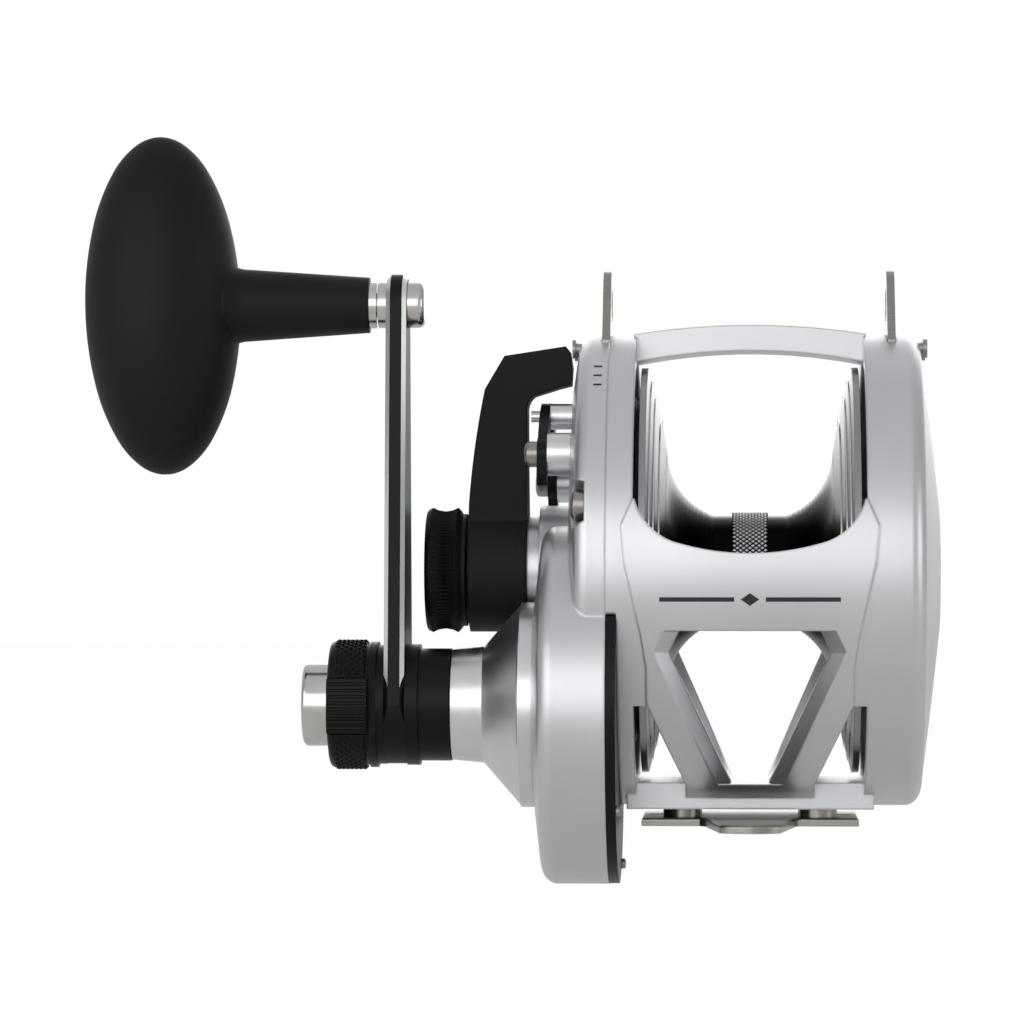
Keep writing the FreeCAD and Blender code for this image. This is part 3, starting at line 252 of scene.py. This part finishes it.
def polished_stainless(colours):
    """Turned and polished stainless: bright, with only a trace of the lathe's rings."""
    material, tree, shader, normal = surface("polished_stainless", "#c9c8c4", 1.0, 0.16, edge=0.2)
    cloud = grain(tree, 3.0)
    tree.links.new(blended(tree, cloud, linear("#bdbbb7"), linear("#d6d5d2")), shader.inputs["Base Color"])
    tree.links.new(between(tree, cloud, 0.12, 0.22), shader.inputs["Roughness"])
    relief(tree, shader, normal, cloud, 0.002)
    return material


def cut_bronze(colours):
    """Hobbed aluminium bronze of the gears: golden, with cutter marks across the teeth."""
    material, tree, shader, normal = surface("cut_bronze", "#b08d57", 1.0, 0.32, edge=0.08)
    mark = grain(tree, 0.25, (0.1, 1.0, 1.0))
    tree.links.new(blended(tree, mark, linear("#9c7a45"), linear("#c4a06a")), shader.inputs["Base Color"])
    tree.links.new(between(tree, mark, 0.26, 0.40), shader.inputs["Roughness"])
    relief(tree, shader, normal, mark, 0.004)
    return material


def carbon_weave(colours):
    """Carbon fibre friction disc: a dull black twill with 1.5 mm squares."""
    material, tree, shader, normal = surface("carbon_weave", "#161618", 0.0, 0.5, edge=0.05)
    place = add(tree, "ShaderNodeTexCoord").outputs["Object"]
    check = add(tree, "ShaderNodeTexChecker", None, Vector=place, Scale=1 / (1.5 * MM)).outputs["Fac"]
    tree.links.new(blended(tree, check, linear("#0e0e10"), linear("#222225")), shader.inputs["Base Color"])
    tree.links.new(between(tree, check, 0.42, 0.56), shader.inputs["Roughness"])
    relief(tree, shader, normal, check, 0.01)
    return material


def black_inlay(colours):
    """Pad-printed black ink: flat, slightly uneven in gloss."""
    material, tree, shader, normal = surface("black_ink", "#141414", 0.0, 0.45, edge=0.02)
    film = grain(tree, 0.6)
    tree.links.new(blended(tree, film, linear("#111111"), linear("#1c1c1c")), shader.inputs["Base Color"])
    tree.links.new(between(tree, film, 0.38, 0.52), shader.inputs["Roughness"])
    relief(tree, shader, normal, film, 0.002)
    return material


FINISHES = {}

NODE_FINISHES = {
    "satin_silver": ("frame", "handle_side_plate"),
    "turned_cone": ("gear_housing_cap",),
    "turned_post": ("quadrant_posts",),
    "spool": ("spool",),
    "black": ("gear_case_back", "hub_sleeve", "knurled_collar", "shift_release", "drag_quadrant"),
    "arm": ("crank_arm",),
    "lever": ("drag_lever",),
    "rubber": ("knob", "preset_knob", "handle_seal"),
    "stainless": (
        "harness_lug_handle_side", "harness_lug_tail_side", "reel_foot", "foot_spacers", "foot_screws",
        "lug_screws", "side_plate_screws", "back_plate_screws", "quadrant_screws", "drag_plate",
        "ratchet_wheel", "front_pawl", "rear_pawl", "pawl_pins", "pinion", "handle_shaft", "spool_shaft",
        "cam_follower", "drag_cam", "spring_washers", "shift_spring", "shift_rod", "click_gear",
        "click_pawl", "pawl_pivot"),
    "polished": (
        "shift_button", "knob_nut", "knob_sleeve", "knob_spindle", "strike_button", "clicker_button",
        "handle_outer_bearing", "handle_inner_bearing", "pinion_outer_bearing", "pinion_inner_bearing",
        "tail_bearing", "spool_bearings"),
    "bronze": ("high_gear", "low_gear"),
    "carbon": ("drag_washer",),
}


# ---------------------------------------------------------------------------------------- mesh and trees


def piece_from(name, mesh, finish, body):
    """Make a finished piece of a mesh: its material and the body it rides on."""
    piece = bpy.data.objects.new(name, mesh)
    bpy.context.scene.collection.objects.link(piece)
    mesh.materials.clear()
    mesh.materials.append(FINISHES[finish])
    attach(piece, body)
    return piece


def lathe(name, axis, profile, steps=96):
    """A mesh turned about an axis parallel to X from (x, radius) points in mm; closed where it meets it."""
    mesh = bpy.data.meshes.new(name)
    form = bmesh.new()
    rings = []
    for x, radius in profile:
        if radius < 1e-6:
            rings.append([form.verts.new((x * MM, axis.y, axis.z))])
            continue
        ring = []
        for step in range(steps):
            turn = 2 * math.pi * step / steps
            ring.append(form.verts.new((x * MM, axis.y - radius * MM * math.sin(turn),
                                        axis.z + radius * MM * math.cos(turn))))
        rings.append(ring)
    closed = profile[0][1] > 1e-6 and profile[-1][1] > 1e-6
    pairs = list(zip(rings, rings[1:])) + ([(rings[-1], rings[0])] if closed else [])
    for one, other in pairs:
        for step in range(steps):
            after = (step + 1) % steps
            corners = [one[step % len(one)], one[after % len(one)], other[after % len(other)],
                       other[step % len(other)]]
            unique = list(dict.fromkeys(corners))
            if len(unique) > 2:
                form.faces.new(unique)
    bmesh.ops.recalc_face_normals(form, faces=form.faces)
    for face in form.faces:
        face.smooth = True
    form.to_mesh(mesh)
    form.free()
    mesh.set_sharp_from_angle(angle=math.radians(35))
    return mesh


def stamp(name, points, faces):
    """A small closed shape to be repeated, from points in mm."""
    mesh = bpy.data.meshes.new(name)
    mesh.from_pydata([[part * MM for part in point] for point in points], [], faces)
    form = bmesh.new()
    form.from_mesh(mesh)
    bmesh.ops.recalc_face_normals(form, faces=form.faces)
    form.to_mesh(mesh)
    form.free()
    return bpy.data.objects.new(name, mesh)


def knurl_diamond(name, half_long, half_wide, height, flat):
    """One diamond of a knurl, lying along X, its top `flat` times as wide as its foot, sizes in mm."""
    base = [(-half_long, 0, -0.15), (0, -half_wide, -0.15), (half_long, 0, -0.15), (0, half_wide, -0.15)]
    top = [(flat * x, flat * y, height) for x, y, _ in base]
    return stamp(name, base + top, [(0, 1, 5, 4), (1, 2, 6, 5), (2, 3, 7, 6), (3, 0, 4, 7), (4, 5, 6, 7),
                                    (3, 2, 1, 0)])


def ring_tree():
    """Repeat a stamp in staggered rows round an axis parallel to X, its +Z pointing outwards."""
    tree = bpy.data.node_groups.new("rows_round_axis", "GeometryNodeTree")
    face = tree.interface
    face.new_socket("Geometry", in_out="INPUT", socket_type="NodeSocketGeometry")
    for name, kind in (("Stamp", "Object"), ("Rows", "Int"), ("Count", "Int"), ("Radius", "Float"),
                       ("Start", "Float"), ("End", "Float"), ("Stagger", "Float"), ("Front", "Float"),
                       ("Axis", "Vector"), ("Finish", "Material")):
        face.new_socket(name, in_out="INPUT", socket_type=f"NodeSocket{kind}")
    face.new_socket("Geometry", in_out="OUTPUT", socket_type="NodeSocketGeometry")
    given = add(tree, "NodeGroupInput").outputs
    maths = lambda operation, first, second: add(
        tree, "ShaderNodeMath", {"operation": operation}, i0=first, i1=second).outputs[0]
    index = add(tree, "GeometryNodeInputIndex").outputs[0]
    row = maths("FLOOR", maths("DIVIDE", index, given["Count"]), 0.0)
    column = maths("SUBTRACT", index, maths("MULTIPLY", row, given["Count"]))
    turn = maths("MULTIPLY", maths("ADD", column, maths("MULTIPLY", row, given["Stagger"])),
                 maths("DIVIDE", 2 * math.pi, given["Count"]))
    span = maths("SUBTRACT", given["End"], given["Start"])
    along = maths("ADD", given["Start"],
                  maths("MULTIPLY", span, maths("DIVIDE", maths("ADD", row, 0.5), given["Rows"])))
    across = maths("MULTIPLY", maths("MULTIPLY", maths("SINE", turn, 0.0), -1.0), given["Radius"])
    upward = maths("MULTIPLY", maths("COSINE", turn, 0.0), given["Radius"])
    local = add(tree, "ShaderNodeCombineXYZ", None, X=along, Y=across, Z=upward).outputs[0]
    place = add(tree, "ShaderNodeVectorMath", {"operation": "ADD"}, i0=local, i1=given["Axis"]).outputs[0]
    points = add(tree, "GeometryNodePoints", None, Count=maths("MULTIPLY", given["Rows"], given["Count"]),
                 Position=place, Radius=0.001)
    shape = add(tree, "GeometryNodeObjectInfo", None, Object=given["Stamp"])
    facing = add(tree, "ShaderNodeCombineXYZ", None, X=turn).outputs[0]
    forward = add(tree, "ShaderNodeVectorMath", {"operation": "DOT_PRODUCT"},
                  i0=add(tree, "GeometryNodeInputPosition").outputs[0], i1=(0, -1, 0)).outputs["Value"]
    clear = add(tree, "FunctionNodeCompare", {"data_type": "FLOAT", "operation": "LESS_THAN"},
                i0=forward, i1=given["Front"]).outputs[0]
    spread = add(tree, "GeometryNodeInstanceOnPoints", None, Points=points.outputs[0], Selection=clear,
                 Instance=shape.outputs["Geometry"], Rotation=facing)
    real = add(tree, "GeometryNodeRealizeInstances", None, Geometry=spread.outputs[0])
    dressed = add(tree, "GeometryNodeSetMaterial", None, Geometry=real.outputs[0], Material=given["Finish"])
    add(tree, "NodeGroupOutput", None, Geometry=dressed.outputs[0])
    return tree


def seat_tree():
    """Put a stamp on every point of a mesh, its +X along the point's own `outward` direction."""
    tree = bpy.data.node_groups.new("stamp_on_seats", "GeometryNodeTree")
    face = tree.interface
    face.new_socket("Geometry", in_out="INPUT", socket_type="NodeSocketGeometry")
    for name, kind in (("Stamp", "Object"), ("Finish", "Material")):
        face.new_socket(name, in_out="INPUT", socket_type=f"NodeSocket{kind}")
    face.new_socket("Geometry", in_out="OUTPUT", socket_type="NodeSocketGeometry")
    given = add(tree, "NodeGroupInput").outputs
    outward = add(tree, "GeometryNodeInputNamedAttribute", {"data_type": "FLOAT_VECTOR"}, Name="outward")
    facing = add(tree, "FunctionNodeAlignRotationToVector", {"axis": "X"}, Vector=outward.outputs[0])
    size = add(tree, "GeometryNodeInputNamedAttribute", {"data_type": "FLOAT"}, Name="size")
    shape = add(tree, "GeometryNodeObjectInfo", None, Object=given["Stamp"])
    spread = add(tree, "GeometryNodeInstanceOnPoints", None, Points=given["Geometry"],
                 Instance=shape.outputs["Geometry"], Rotation=facing.outputs[0], Scale=size.outputs[0])
    real = add(tree, "GeometryNodeRealizeInstances", None, Geometry=spread.outputs[0])
    dressed = add(tree, "GeometryNodeSetMaterial", None, Geometry=real.outputs[0], Material=given["Finish"])
    add(tree, "NodeGroupOutput", None, Geometry=dressed.outputs[0])
    return tree


def grown(name, base, tree, inputs, finish, body, smooth=None):
    """Run a geometry tree on a base mesh and keep its result as a plain finished piece."""
    carrier = bpy.data.objects.new(f"{name}_carrier", base)
    bpy.context.scene.collection.objects.link(carrier)
    modifier = carrier.modifiers.new(tree.name, "NODES")
    modifier.node_group = tree
    sockets = {item.name: item.identifier for item in tree.interface.items_tree if item.in_out == "INPUT"}
    for socket, number in {**inputs, "Finish": FINISHES[finish]}.items():
        modifier[sockets[socket]] = number
    bpy.context.view_layer.update()
    evaluated = carrier.evaluated_get(bpy.context.evaluated_depsgraph_get())
    mesh = bpy.data.meshes.new_from_object(evaluated)
    mesh.name = name
    bpy.data.objects.remove(carrier)
    if smooth is not None:
        for polygon in mesh.polygons:
            polygon.use_smooth = True
        mesh.set_sharp_from_angle(angle=math.radians(smooth))
    return piece_from(name, mesh, finish, body)


def rows_round(name, shape, finish, body, axis, radius, start, end, rows, count, stagger=0.5, front=99):
    """Rows of a stamp round an axis, none further forward than `front`; lengths in mm."""
    inputs = {"Stamp": shape, "Rows": rows, "Count": count, "Radius": radius * MM, "Start": start * MM,
              "End": end * MM, "Stagger": stagger, "Front": front * MM, "Axis": tuple(axis)}
    return grown(name, bpy.data.meshes.new(name), TREES["rows"], inputs, finish, body)


def on_seats(name, shape, finish, body, seats):
    """A stamp on each seat: a place in mm, a direction and a size."""
    mesh = bpy.data.meshes.new(name)
    mesh.from_pydata([[part * MM for part in place] for place, _, _ in seats], [], [])
    mesh.attributes.new("outward", "FLOAT_VECTOR", "POINT")
    mesh.attributes.new("size", "FLOAT", "POINT")
    for number, (_, direction, scale) in enumerate(seats):
        mesh.attributes["outward"].data[number].vector = direction
        mesh.attributes["size"].data[number].value = scale
    return grown(name, mesh, TREES["seats"], {"Stamp": shape}, finish, body, smooth=40)


TREES = {}


def round_axis(axis, radius, angle):
    """Y and Z in mm at a radius and an angle from upright towards the front, about an axis."""
    turn = math.radians(angle)
    return axis.y / MM - radius * math.sin(turn), axis.z / MM + radius * math.cos(turn)


# --------------------------------------------------------------------------------------------- settings


class ReelColours(bpy.types.PropertyGroup):
    silver: FloatVectorProperty(name="Silver enamel", description="Frame and side plate", subtype="COLOR",
                                min=0, max=1, default=linear("#d0d2d5")[:3])
    machined: FloatVectorProperty(name="Machined aluminium", description="Cone, boss and posts",
                                  subtype="COLOR", min=0, max=1, default=linear("#dcdee0")[:3])
    rubber: FloatVectorProperty(name="Rubber", description="Knob and preset knob", subtype="COLOR",
                                min=0, max=1, default=linear("#09090a")[:3])


class ReelSizes(bpy.types.PropertyGroup):
    band_rows: IntProperty(name="Band rows", description="Diamonds across the spool's knurled band",
                           default=11, min=3, max=30)
    band_count: IntProperty(name="Band diamonds", description="Diamonds round the spool's knurled band",
                            default=72, min=12, max=120)
    collar_count: IntProperty(name="Collar diamonds", description="Diamonds round the crank's collar",
                              default=46, min=12, max=120)
    preset_ribs: IntProperty(name="Preset ribs", description="Ribs round the preset knob", default=88,
                             min=12, max=120)
    head_radius: FloatProperty(name="Screw head", description="Radius of a quadrant screw's head",
                               default=2.7 * MM, min=1 * MM, max=5 * MM, unit="LENGTH")
    capacity_line: FloatProperty(name="Capacity line", description="Width of a line on the spool's flange",
                                 default=0.3 * MM, min=0.05 * MM, max=1 * MM, unit="LENGTH")
    camera_distance: FloatProperty(name="Camera distance", description="From the camera to the spool axis",
                                   default=1.0, min=0.3, max=5, unit="LENGTH")


# --------------------------------------------------------------------------------------------- operators


class REEL_OT_finishes(bpy.types.Operator):
    """Mix every finish and give each carried-over part its own"""
    bl_idname = "reel.finishes"
    bl_label = "Finishes"

    def execute(self, context):
        colours = context.scene.reel_colours
        FINISHES.update({
            "satin_silver": satin_silver(colours),
            "turned_cone": turned_silver(colours, HANDLE_AXIS, "turned_aluminium_handle_side"),
            "turned_post": turned_silver(colours, SPOOL_AXIS, "turned_aluminium_posts"),
            "spool": spool_finish_with_painted_shade(colours),
            "black": black_anodised(colours),
            "arm": black_arm(colours),
            "lever": lever_black(colours),
            "rubber": moulded_rubber(colours),
            "stainless": brushed_stainless(colours),
            "polished": polished_stainless(colours),
            "bronze": cut_bronze(colours),
            "carbon": carbon_weave(colours),
            "ink": black_inlay(colours),
        })
        TREES.update(rows=ring_tree(), seats=seat_tree())
        for finish, names in NODE_FINISHES.items():
            for name in names:
                for slot in NODES[name].material_slots:
                    slot.material = FINISHES[finish]
        return {"FINISHED"}


class REEL_OT_spool(bpy.types.Operator):
    """Cut the spool's diamond band and its capacity lines"""
    bl_idname = "reel.spool"
    bl_label = "Spool details"

    def execute(self, context):
        sizes = context.scene.reel_sizes
        half_long = 7.2 / sizes.band_rows
        half_wide = math.pi * 12.1 / sizes.band_count
        diamond = knurl_diamond("band_diamond", half_long * 0.9, half_wide * 0.9, 0.16, 0.62)
        rows_round("spool_knurled_band", diamond, "turned_post", "spool", SPOOL_AXIS, 12.1,
                   -3.6, 3.6, sizes.band_rows, sizes.band_count)
        width = sizes.capacity_line / MM
        for number, (x, radius) in enumerate(((20.75, 40.5), (19.95, 37.4), (18.85, 32.2))):
            for side, word in ((-1, "handle_side"), (1, "tail_side")):
                line = lathe(f"capacity_line_{word}_{number + 1}", SPOOL_AXIS, [
                    (side * (x + 0.25), radius - width / 2), (side * (x - 0.12), radius - width / 2),
                    (side * (x - 0.12), radius + width / 2), (side * (x + 0.25), radius + width / 2)], 128)
                piece_from(line.name, line, "polished", "spool")
        return {"FINISHED"}


class REEL_OT_crank(bpy.types.Operator):
    """Knurl the crank's collar and rib its release tab"""
    bl_idname = "reel.crank"
    bl_label = "Crank details"

    def execute(self, context):
        sizes = context.scene.reel_sizes
        half_wide = math.pi * 13.3 / sizes.collar_count
        diamond = knurl_diamond("collar_diamond", 0.86, half_wide * 0.94, 0.42, 0.3)
        rows_round("collar_knurl", diamond, "black", "crank", HANDLE_AXIS, 13.25, -86.8, -80.5,
                   7, sizes.collar_count, front=COLLAR_SLOT_FRONT)
        ribs = []
        for number in range(8):
            rise = (number - 3.5) * 1.3
            forward = math.sqrt(18.0 ** 2 - rise ** 2) - 3.47
            ribs.append(((-83.8, HANDLE_AXIS.y / MM - forward, HANDLE_AXIS.z / MM + rise), (1, 0, 0), 1.0))
        rib = stamp("tab_rib", [(-4.0, 0.3, -0.45), (-4.0, -0.42, -0.2), (-4.0, -0.42, 0.2), (-4.0, 0.3, 0.45),
                                (4.0, 0.3, -0.45), (4.0, -0.42, -0.2), (4.0, -0.42, 0.2), (4.0, 0.3, 0.45)],
                    [(0, 1, 2, 3), (7, 6, 5, 4), (0, 4, 5, 1), (1, 5, 6, 2), (2, 6, 7, 3), (3, 7, 4, 0)])
        on_seats("release_tab_ribs", rib, "black", "shift_release", ribs)
        return {"FINISHED"}


class REEL_OT_preset_knob(bpy.types.Operator):
    """Rib the preset knob's rim"""
    bl_idname = "reel.preset_knob"
    bl_label = "Preset knob ribs"

    def execute(self, context):
        sizes = context.scene.reel_sizes
        wide = math.pi * 13.2 / sizes.preset_ribs * 0.7
        top = [(-3.9, -0.8), (-3.1, 0.14), (-2.0, -0.4), (-0.4, -0.68), (1.2, -0.4), (2.3, 0.14), (3.1, -0.7)]
        points, faces = [], []
        for x, z in top:
            points += [(x, -wide, z - 0.45), (x, 0.0, z), (x, wide, z - 0.45)]
        for step in range(len(top) - 1):
            first, second = 3 * step, 3 * step + 3
            faces += [(first, second, second + 1, first + 1), (first + 1, second + 1, second + 2, first + 2),
                      (first + 2, second + 2, second, first)]
        faces += [(0, 1, 2), tuple(reversed([len(points) - 3, len(points) - 2, len(points) - 1]))]
        rib = stamp("preset_rib", points, faces)
        rows_round("preset_knob_ribs", rib, "rubber", "preset_knob", SPOOL_AXIS, 13.2, -64.6, -64.6,
                   1, sizes.preset_ribs, 0.0)
        return {"FINISHED"}


class REEL_OT_screws(bpy.types.Operator):
    """Set domed socket heads over the plain heads of the screws"""
    bl_idname = "reel.screws"
    bl_label = "Screw heads"

    def execute(self, context):
        head = bpy.data.objects.new("screw_head", socket_head())
        scale = context.scene.reel_sizes.head_radius / MM
        seats = []
        for angle in (44.0, -56.0):
            y, z = round_axis(SPOOL_AXIS, 33.6, angle)
            seats.append(((-46.2, y, z), (-1, 0, 0), scale))
        on_seats("quadrant_screw_heads", head, "stainless", "frame", seats)
        rim = []
        for angle in (73.5, -38.0, -78.0, -125.0):
            y, z = round_axis(SPOOL_AXIS, 46.2, angle)
            rim.append(((-35.6, y, z), (-1, 0, 0), 3.3))
        on_seats("side_plate_screw_heads", head, "stainless", "frame", rim)
        backs = []
        for angle in (125.0, 200.0, -60.0):
            y, z = round_axis(HANDLE_AXIS, 36.3, angle)
            backs.append(((-26.7, y, z), (1, 0, 0), 1.1))
        on_seats("back_plate_screw_heads", head, "stainless", "frame", backs)
        return {"FINISHED"}


def socket_head():
    """Unit screw head along +X: a low dome with a six-sided socket, seated at x = 0 with radius 1 mm."""
    mesh = bpy.data.meshes.new("screw_head")
    form = bmesh.new()
    profile = [(-0.15, 0.97), (0.0, 1.0), (0.10, 0.97), (0.22, 0.82), (0.29, 0.60), (0.30, 0.46)]
    steps = 24
    rings = []
    for x, radius in profile:
        rings.append([form.verts.new((x * MM, radius * MM * math.cos(2 * math.pi * step / steps),
                                      radius * MM * math.sin(2 * math.pi * step / steps)))
                      for step in range(steps)])
    for x in (0.28, -0.08):
        ring = []
        for step in range(steps):
            turn = 2 * math.pi * step / steps
            sixth = (turn + math.pi / 6) % (math.pi / 3) - math.pi / 6
            reach = 0.38 / math.cos(sixth)
            ring.append(form.verts.new((x * MM, reach * MM * math.cos(turn), reach * MM * math.sin(turn))))
        rings.append(ring)
    for one, other in zip(rings, rings[1:]):
        for step in range(steps):
            after = (step + 1) % steps
            form.faces.new([one[step], one[after], other[after], other[step]])
    form.faces.new(rings[-1])
    form.faces.new(list(reversed(rings[0])))
    bmesh.ops.recalc_face_normals(form, faces=form.faces)
    form.to_mesh(mesh)
    form.free()
    return mesh


class REEL_OT_marks(bpy.types.Operator):
    """Print the plain pinstripe on the front panel and the index ticks on the rim"""
    bl_idname = "reel.marks"
    bl_label = "Printed marks"

    def execute(self, context):
        stripes = [(-18.4, -3.2, 0.45), (3.2, 18.4, 0.45)]
        shapes = []
        for start, end, half in stripes:
            shapes.append([(start, -6.0 + half), (start, -6.0 - half), (end, -6.0 - half), (end, -6.0 + half)])
        shapes.append([(-1.9, -6.0), (0.0, -7.3), (1.9, -6.0), (0.0, -4.7)])
        ticks = [[(-32.4, z), (-32.4, z - 0.35), (-30.7, z - 0.35), (-30.7, z)] for z in (38.6, 40.6, 42.6)]
        for name, patches, radius in (("panel_pinstripe", shapes, 50.73), ("rim_index_ticks", ticks, 50.03)):
            mesh = bpy.data.meshes.new(name)
            form = bmesh.new()
            for corners in patches:
                lined_patch(form, corners, radius)
            form.to_mesh(mesh)
            form.free()
            piece_from(name, mesh, "ink", "frame")
        return {"FINISHED"}


def lined_patch(form, corners, radius):
    """A thin printed patch laid on the front of a cylinder round the spool axis, from (x, z) corners in mm."""
    columns = 24
    left, right = min(corner[0] for corner in corners), max(corner[0] for corner in corners)

    def height_at(x, pick):
        heights = []
        for one, other in zip(corners, corners[1:] + corners[:1]):
            low, high = sorted((one, other))
            if low[0] - 1e-9 <= x <= high[0] + 1e-9:
                if high[0] - low[0] < 1e-9:
                    heights += [one[1], other[1]]
                else:
                    heights.append(low[1] + (high[1] - low[1]) * (x - low[0]) / (high[0] - low[0]))
        return pick(heights)

    rows = []
    for column in range(columns + 1):
        x = left + (right - left) * column / columns
        rows.append([form.verts.new((x * MM, -math.sqrt(radius ** 2 - z ** 2) * MM, SPOOL_AXIS.z + z * MM))
                     for z in (height_at(x, min), height_at(x, max))])
    for one, other in zip(rows, rows[1:]):
        corners_here = list(dict.fromkeys([one[0], other[0], other[1], one[1]]))
        form.faces.new(corners_here)


class REEL_OT_stage(bpy.types.Operator):
    """Lay the pale floor, hang the soft lights and aim the camera"""
    bl_idname = "reel.stage"
    bl_label = "Stage"

    def execute(self, context):
        scene = context.scene
        floor_mesh = bpy.data.meshes.new("floor")
        floor_mesh.from_pydata([(-6, -6, -0.06), (6, -6, -0.06), (6, 6, -0.06), (-6, 6, -0.06)], [],
                               [(0, 1, 2, 3)])
        floor = bpy.data.objects.new("floor", floor_mesh)
        scene.collection.objects.link(floor)
        floor_mesh.materials.append(pale_floor())
        scene.world = studio_air()
        scene.view_settings.view_transform = "Standard"
        for name, place, wide, tall, power in (
                ("front_softbox", (-0.95, -1.45, 0.35), 2.4, 1.4, 13.5),
                ("tail_softbox", (1.7, -0.6, 0.30), 0.9, 0.9, 3.5),
                ("back_softbox", (0.1, 1.7, 0.60), 1.4, 0.9, 5.0)):
            lamp = bpy.data.lights.new(name, "AREA")
            lamp.shape = "RECTANGLE"
            lamp.size = wide
            lamp.size_y = tall
            lamp.energy = power
            light = bpy.data.objects.new(name, lamp)
            scene.collection.objects.link(light)
            light.location = place
            light.rotation_euler = (SPOOL_AXIS - Vector(place)).to_track_quat("-Z", "Y").to_euler()
        distance = scene.reel_sizes.camera_distance
        lens = bpy.data.cameras.new("front_camera")
        lens.sensor_width = 36.0
        lens.lens = 164.5
        lens.clip_start = 0.01
        camera = bpy.data.objects.new("front_camera", lens)
        scene.collection.objects.link(camera)
        camera.location = (0.0, -distance, SPOOL_AXIS.z)
        aim = Vector((-50.85 * MM, 0.0, SPOOL_AXIS.z + 12.4 * MM))
        camera.rotation_euler = (aim - camera.location).to_track_quat("-Z", "Y").to_euler()
        scene.camera = camera
        return {"FINISHED"}


def pale_floor():
    """Matt white sweep paper, overlit from below so that it falls away to white, as on a light table."""
    material, tree, shader, normal = surface("white_sweep_paper", "#e9e9e8", 0.0, 0.9, edge=0.05)
    tooth = grain(tree, 2.0)
    tree.links.new(blended(tree, tooth, linear("#e6e6e5"), linear("#ededec")), shader.inputs["Base Color"])
    relief(tree, shader, normal, tooth, 0.01)
    glow = add(tree, "ShaderNodeEmission", None, Color=(1, 1, 1, 1), Strength=1.0)
    seen = add(tree, "ShaderNodeMath", {"operation": "MULTIPLY"},
               i0=add(tree, "ShaderNodeLightPath").outputs["Is Camera Ray"], i1=0.97)
    mix = add(tree, "ShaderNodeMixShader", None, i0=seen.outputs[0], i1=shader.outputs[0], i2=glow.outputs[0])
    tree.links.new(mix.outputs[0], tree.nodes["Material Output"].inputs["Surface"])
    return material


def studio_air():
    """White behind the object; the light that reaches it is grey, brightest in front and behind."""
    world = bpy.data.worlds.new("studio_air")
    world.use_nodes = True
    tree = world.node_tree
    tree.nodes.clear()
    direction = add(tree, "ShaderNodeTexCoord").outputs["Generated"]
    parts = add(tree, "ShaderNodeSeparateXYZ", None, Vector=direction).outputs
    sideways = add(tree, "ShaderNodeMath", {"operation": "ABSOLUTE"}, i0=parts["X"]).outputs[0]
    walls = between(tree, sideways, 0.92, 0.50, 0.15, 0.9)
    ramp = add(tree, "ShaderNodeValToRGB", None, Fac=between(tree, parts["Z"], 0.0, 1.0, -1.0, 1.0))
    ramp.color_ramp.elements[0].color = (0.80, 0.80, 0.81, 1.0)
    ramp.color_ramp.elements[1].color = (0.70, 0.70, 0.71, 1.0)
    middle = ramp.color_ramp.elements.new(0.5)
    middle.color = (1.0, 1.0, 1.0, 1.0)
    soft = add(tree, "ShaderNodeBackground", None, Color=ramp.outputs["Color"], Strength=walls)
    plain = add(tree, "ShaderNodeBackground", None, Color=(1, 1, 1, 1), Strength=1.0)
    path = add(tree, "ShaderNodeLightPath")
    mix = add(tree, "ShaderNodeMixShader", None, i0=path.outputs["Is Camera Ray"], i1=soft.outputs[0],
              i2=plain.outputs[0])
    add(tree, "ShaderNodeOutputWorld", None, Surface=mix.outputs[0])
    return world


class REEL_PT_panel(bpy.types.Panel):
    """The reel's tools, in the sidebar"""
    bl_idname = "REEL_PT_panel"
    bl_label = "Trolling reel"
    bl_space_type = "VIEW_3D"
    bl_region_type = "UI"
    bl_category = "Reel"

    def draw(self, context):
        for group in (context.scene.reel_colours, context.scene.reel_sizes):
            for name in group.__annotations__:
                self.layout.prop(group, name)
        for operator in OPERATORS:
            self.layout.operator(operator.bl_idname)


OPERATORS = (REEL_OT_finishes, REEL_OT_spool, REEL_OT_crank, REEL_OT_preset_knob, REEL_OT_screws,
             REEL_OT_marks, REEL_OT_stage)
CLASSES = (ReelColours, ReelSizes) + OPERATORS + (REEL_PT_panel,)


def register():
    for kind in CLASSES:
        bpy.utils.register_class(kind)
    bpy.types.Scene.reel_colours = PointerProperty(type=ReelColours)
    bpy.types.Scene.reel_sizes = PointerProperty(type=ReelSizes)


def unregister():
    del bpy.types.Scene.reel_sizes
    del bpy.types.Scene.reel_colours
    for kind in reversed(CLASSES):
        bpy.utils.unregister_class(kind)


def main():
    register()
    for operator in OPERATORS:
        group, name = operator.bl_idname.split(".")
        getattr(getattr(bpy.ops, group), name)()


if __name__ == "__main__":
    main()
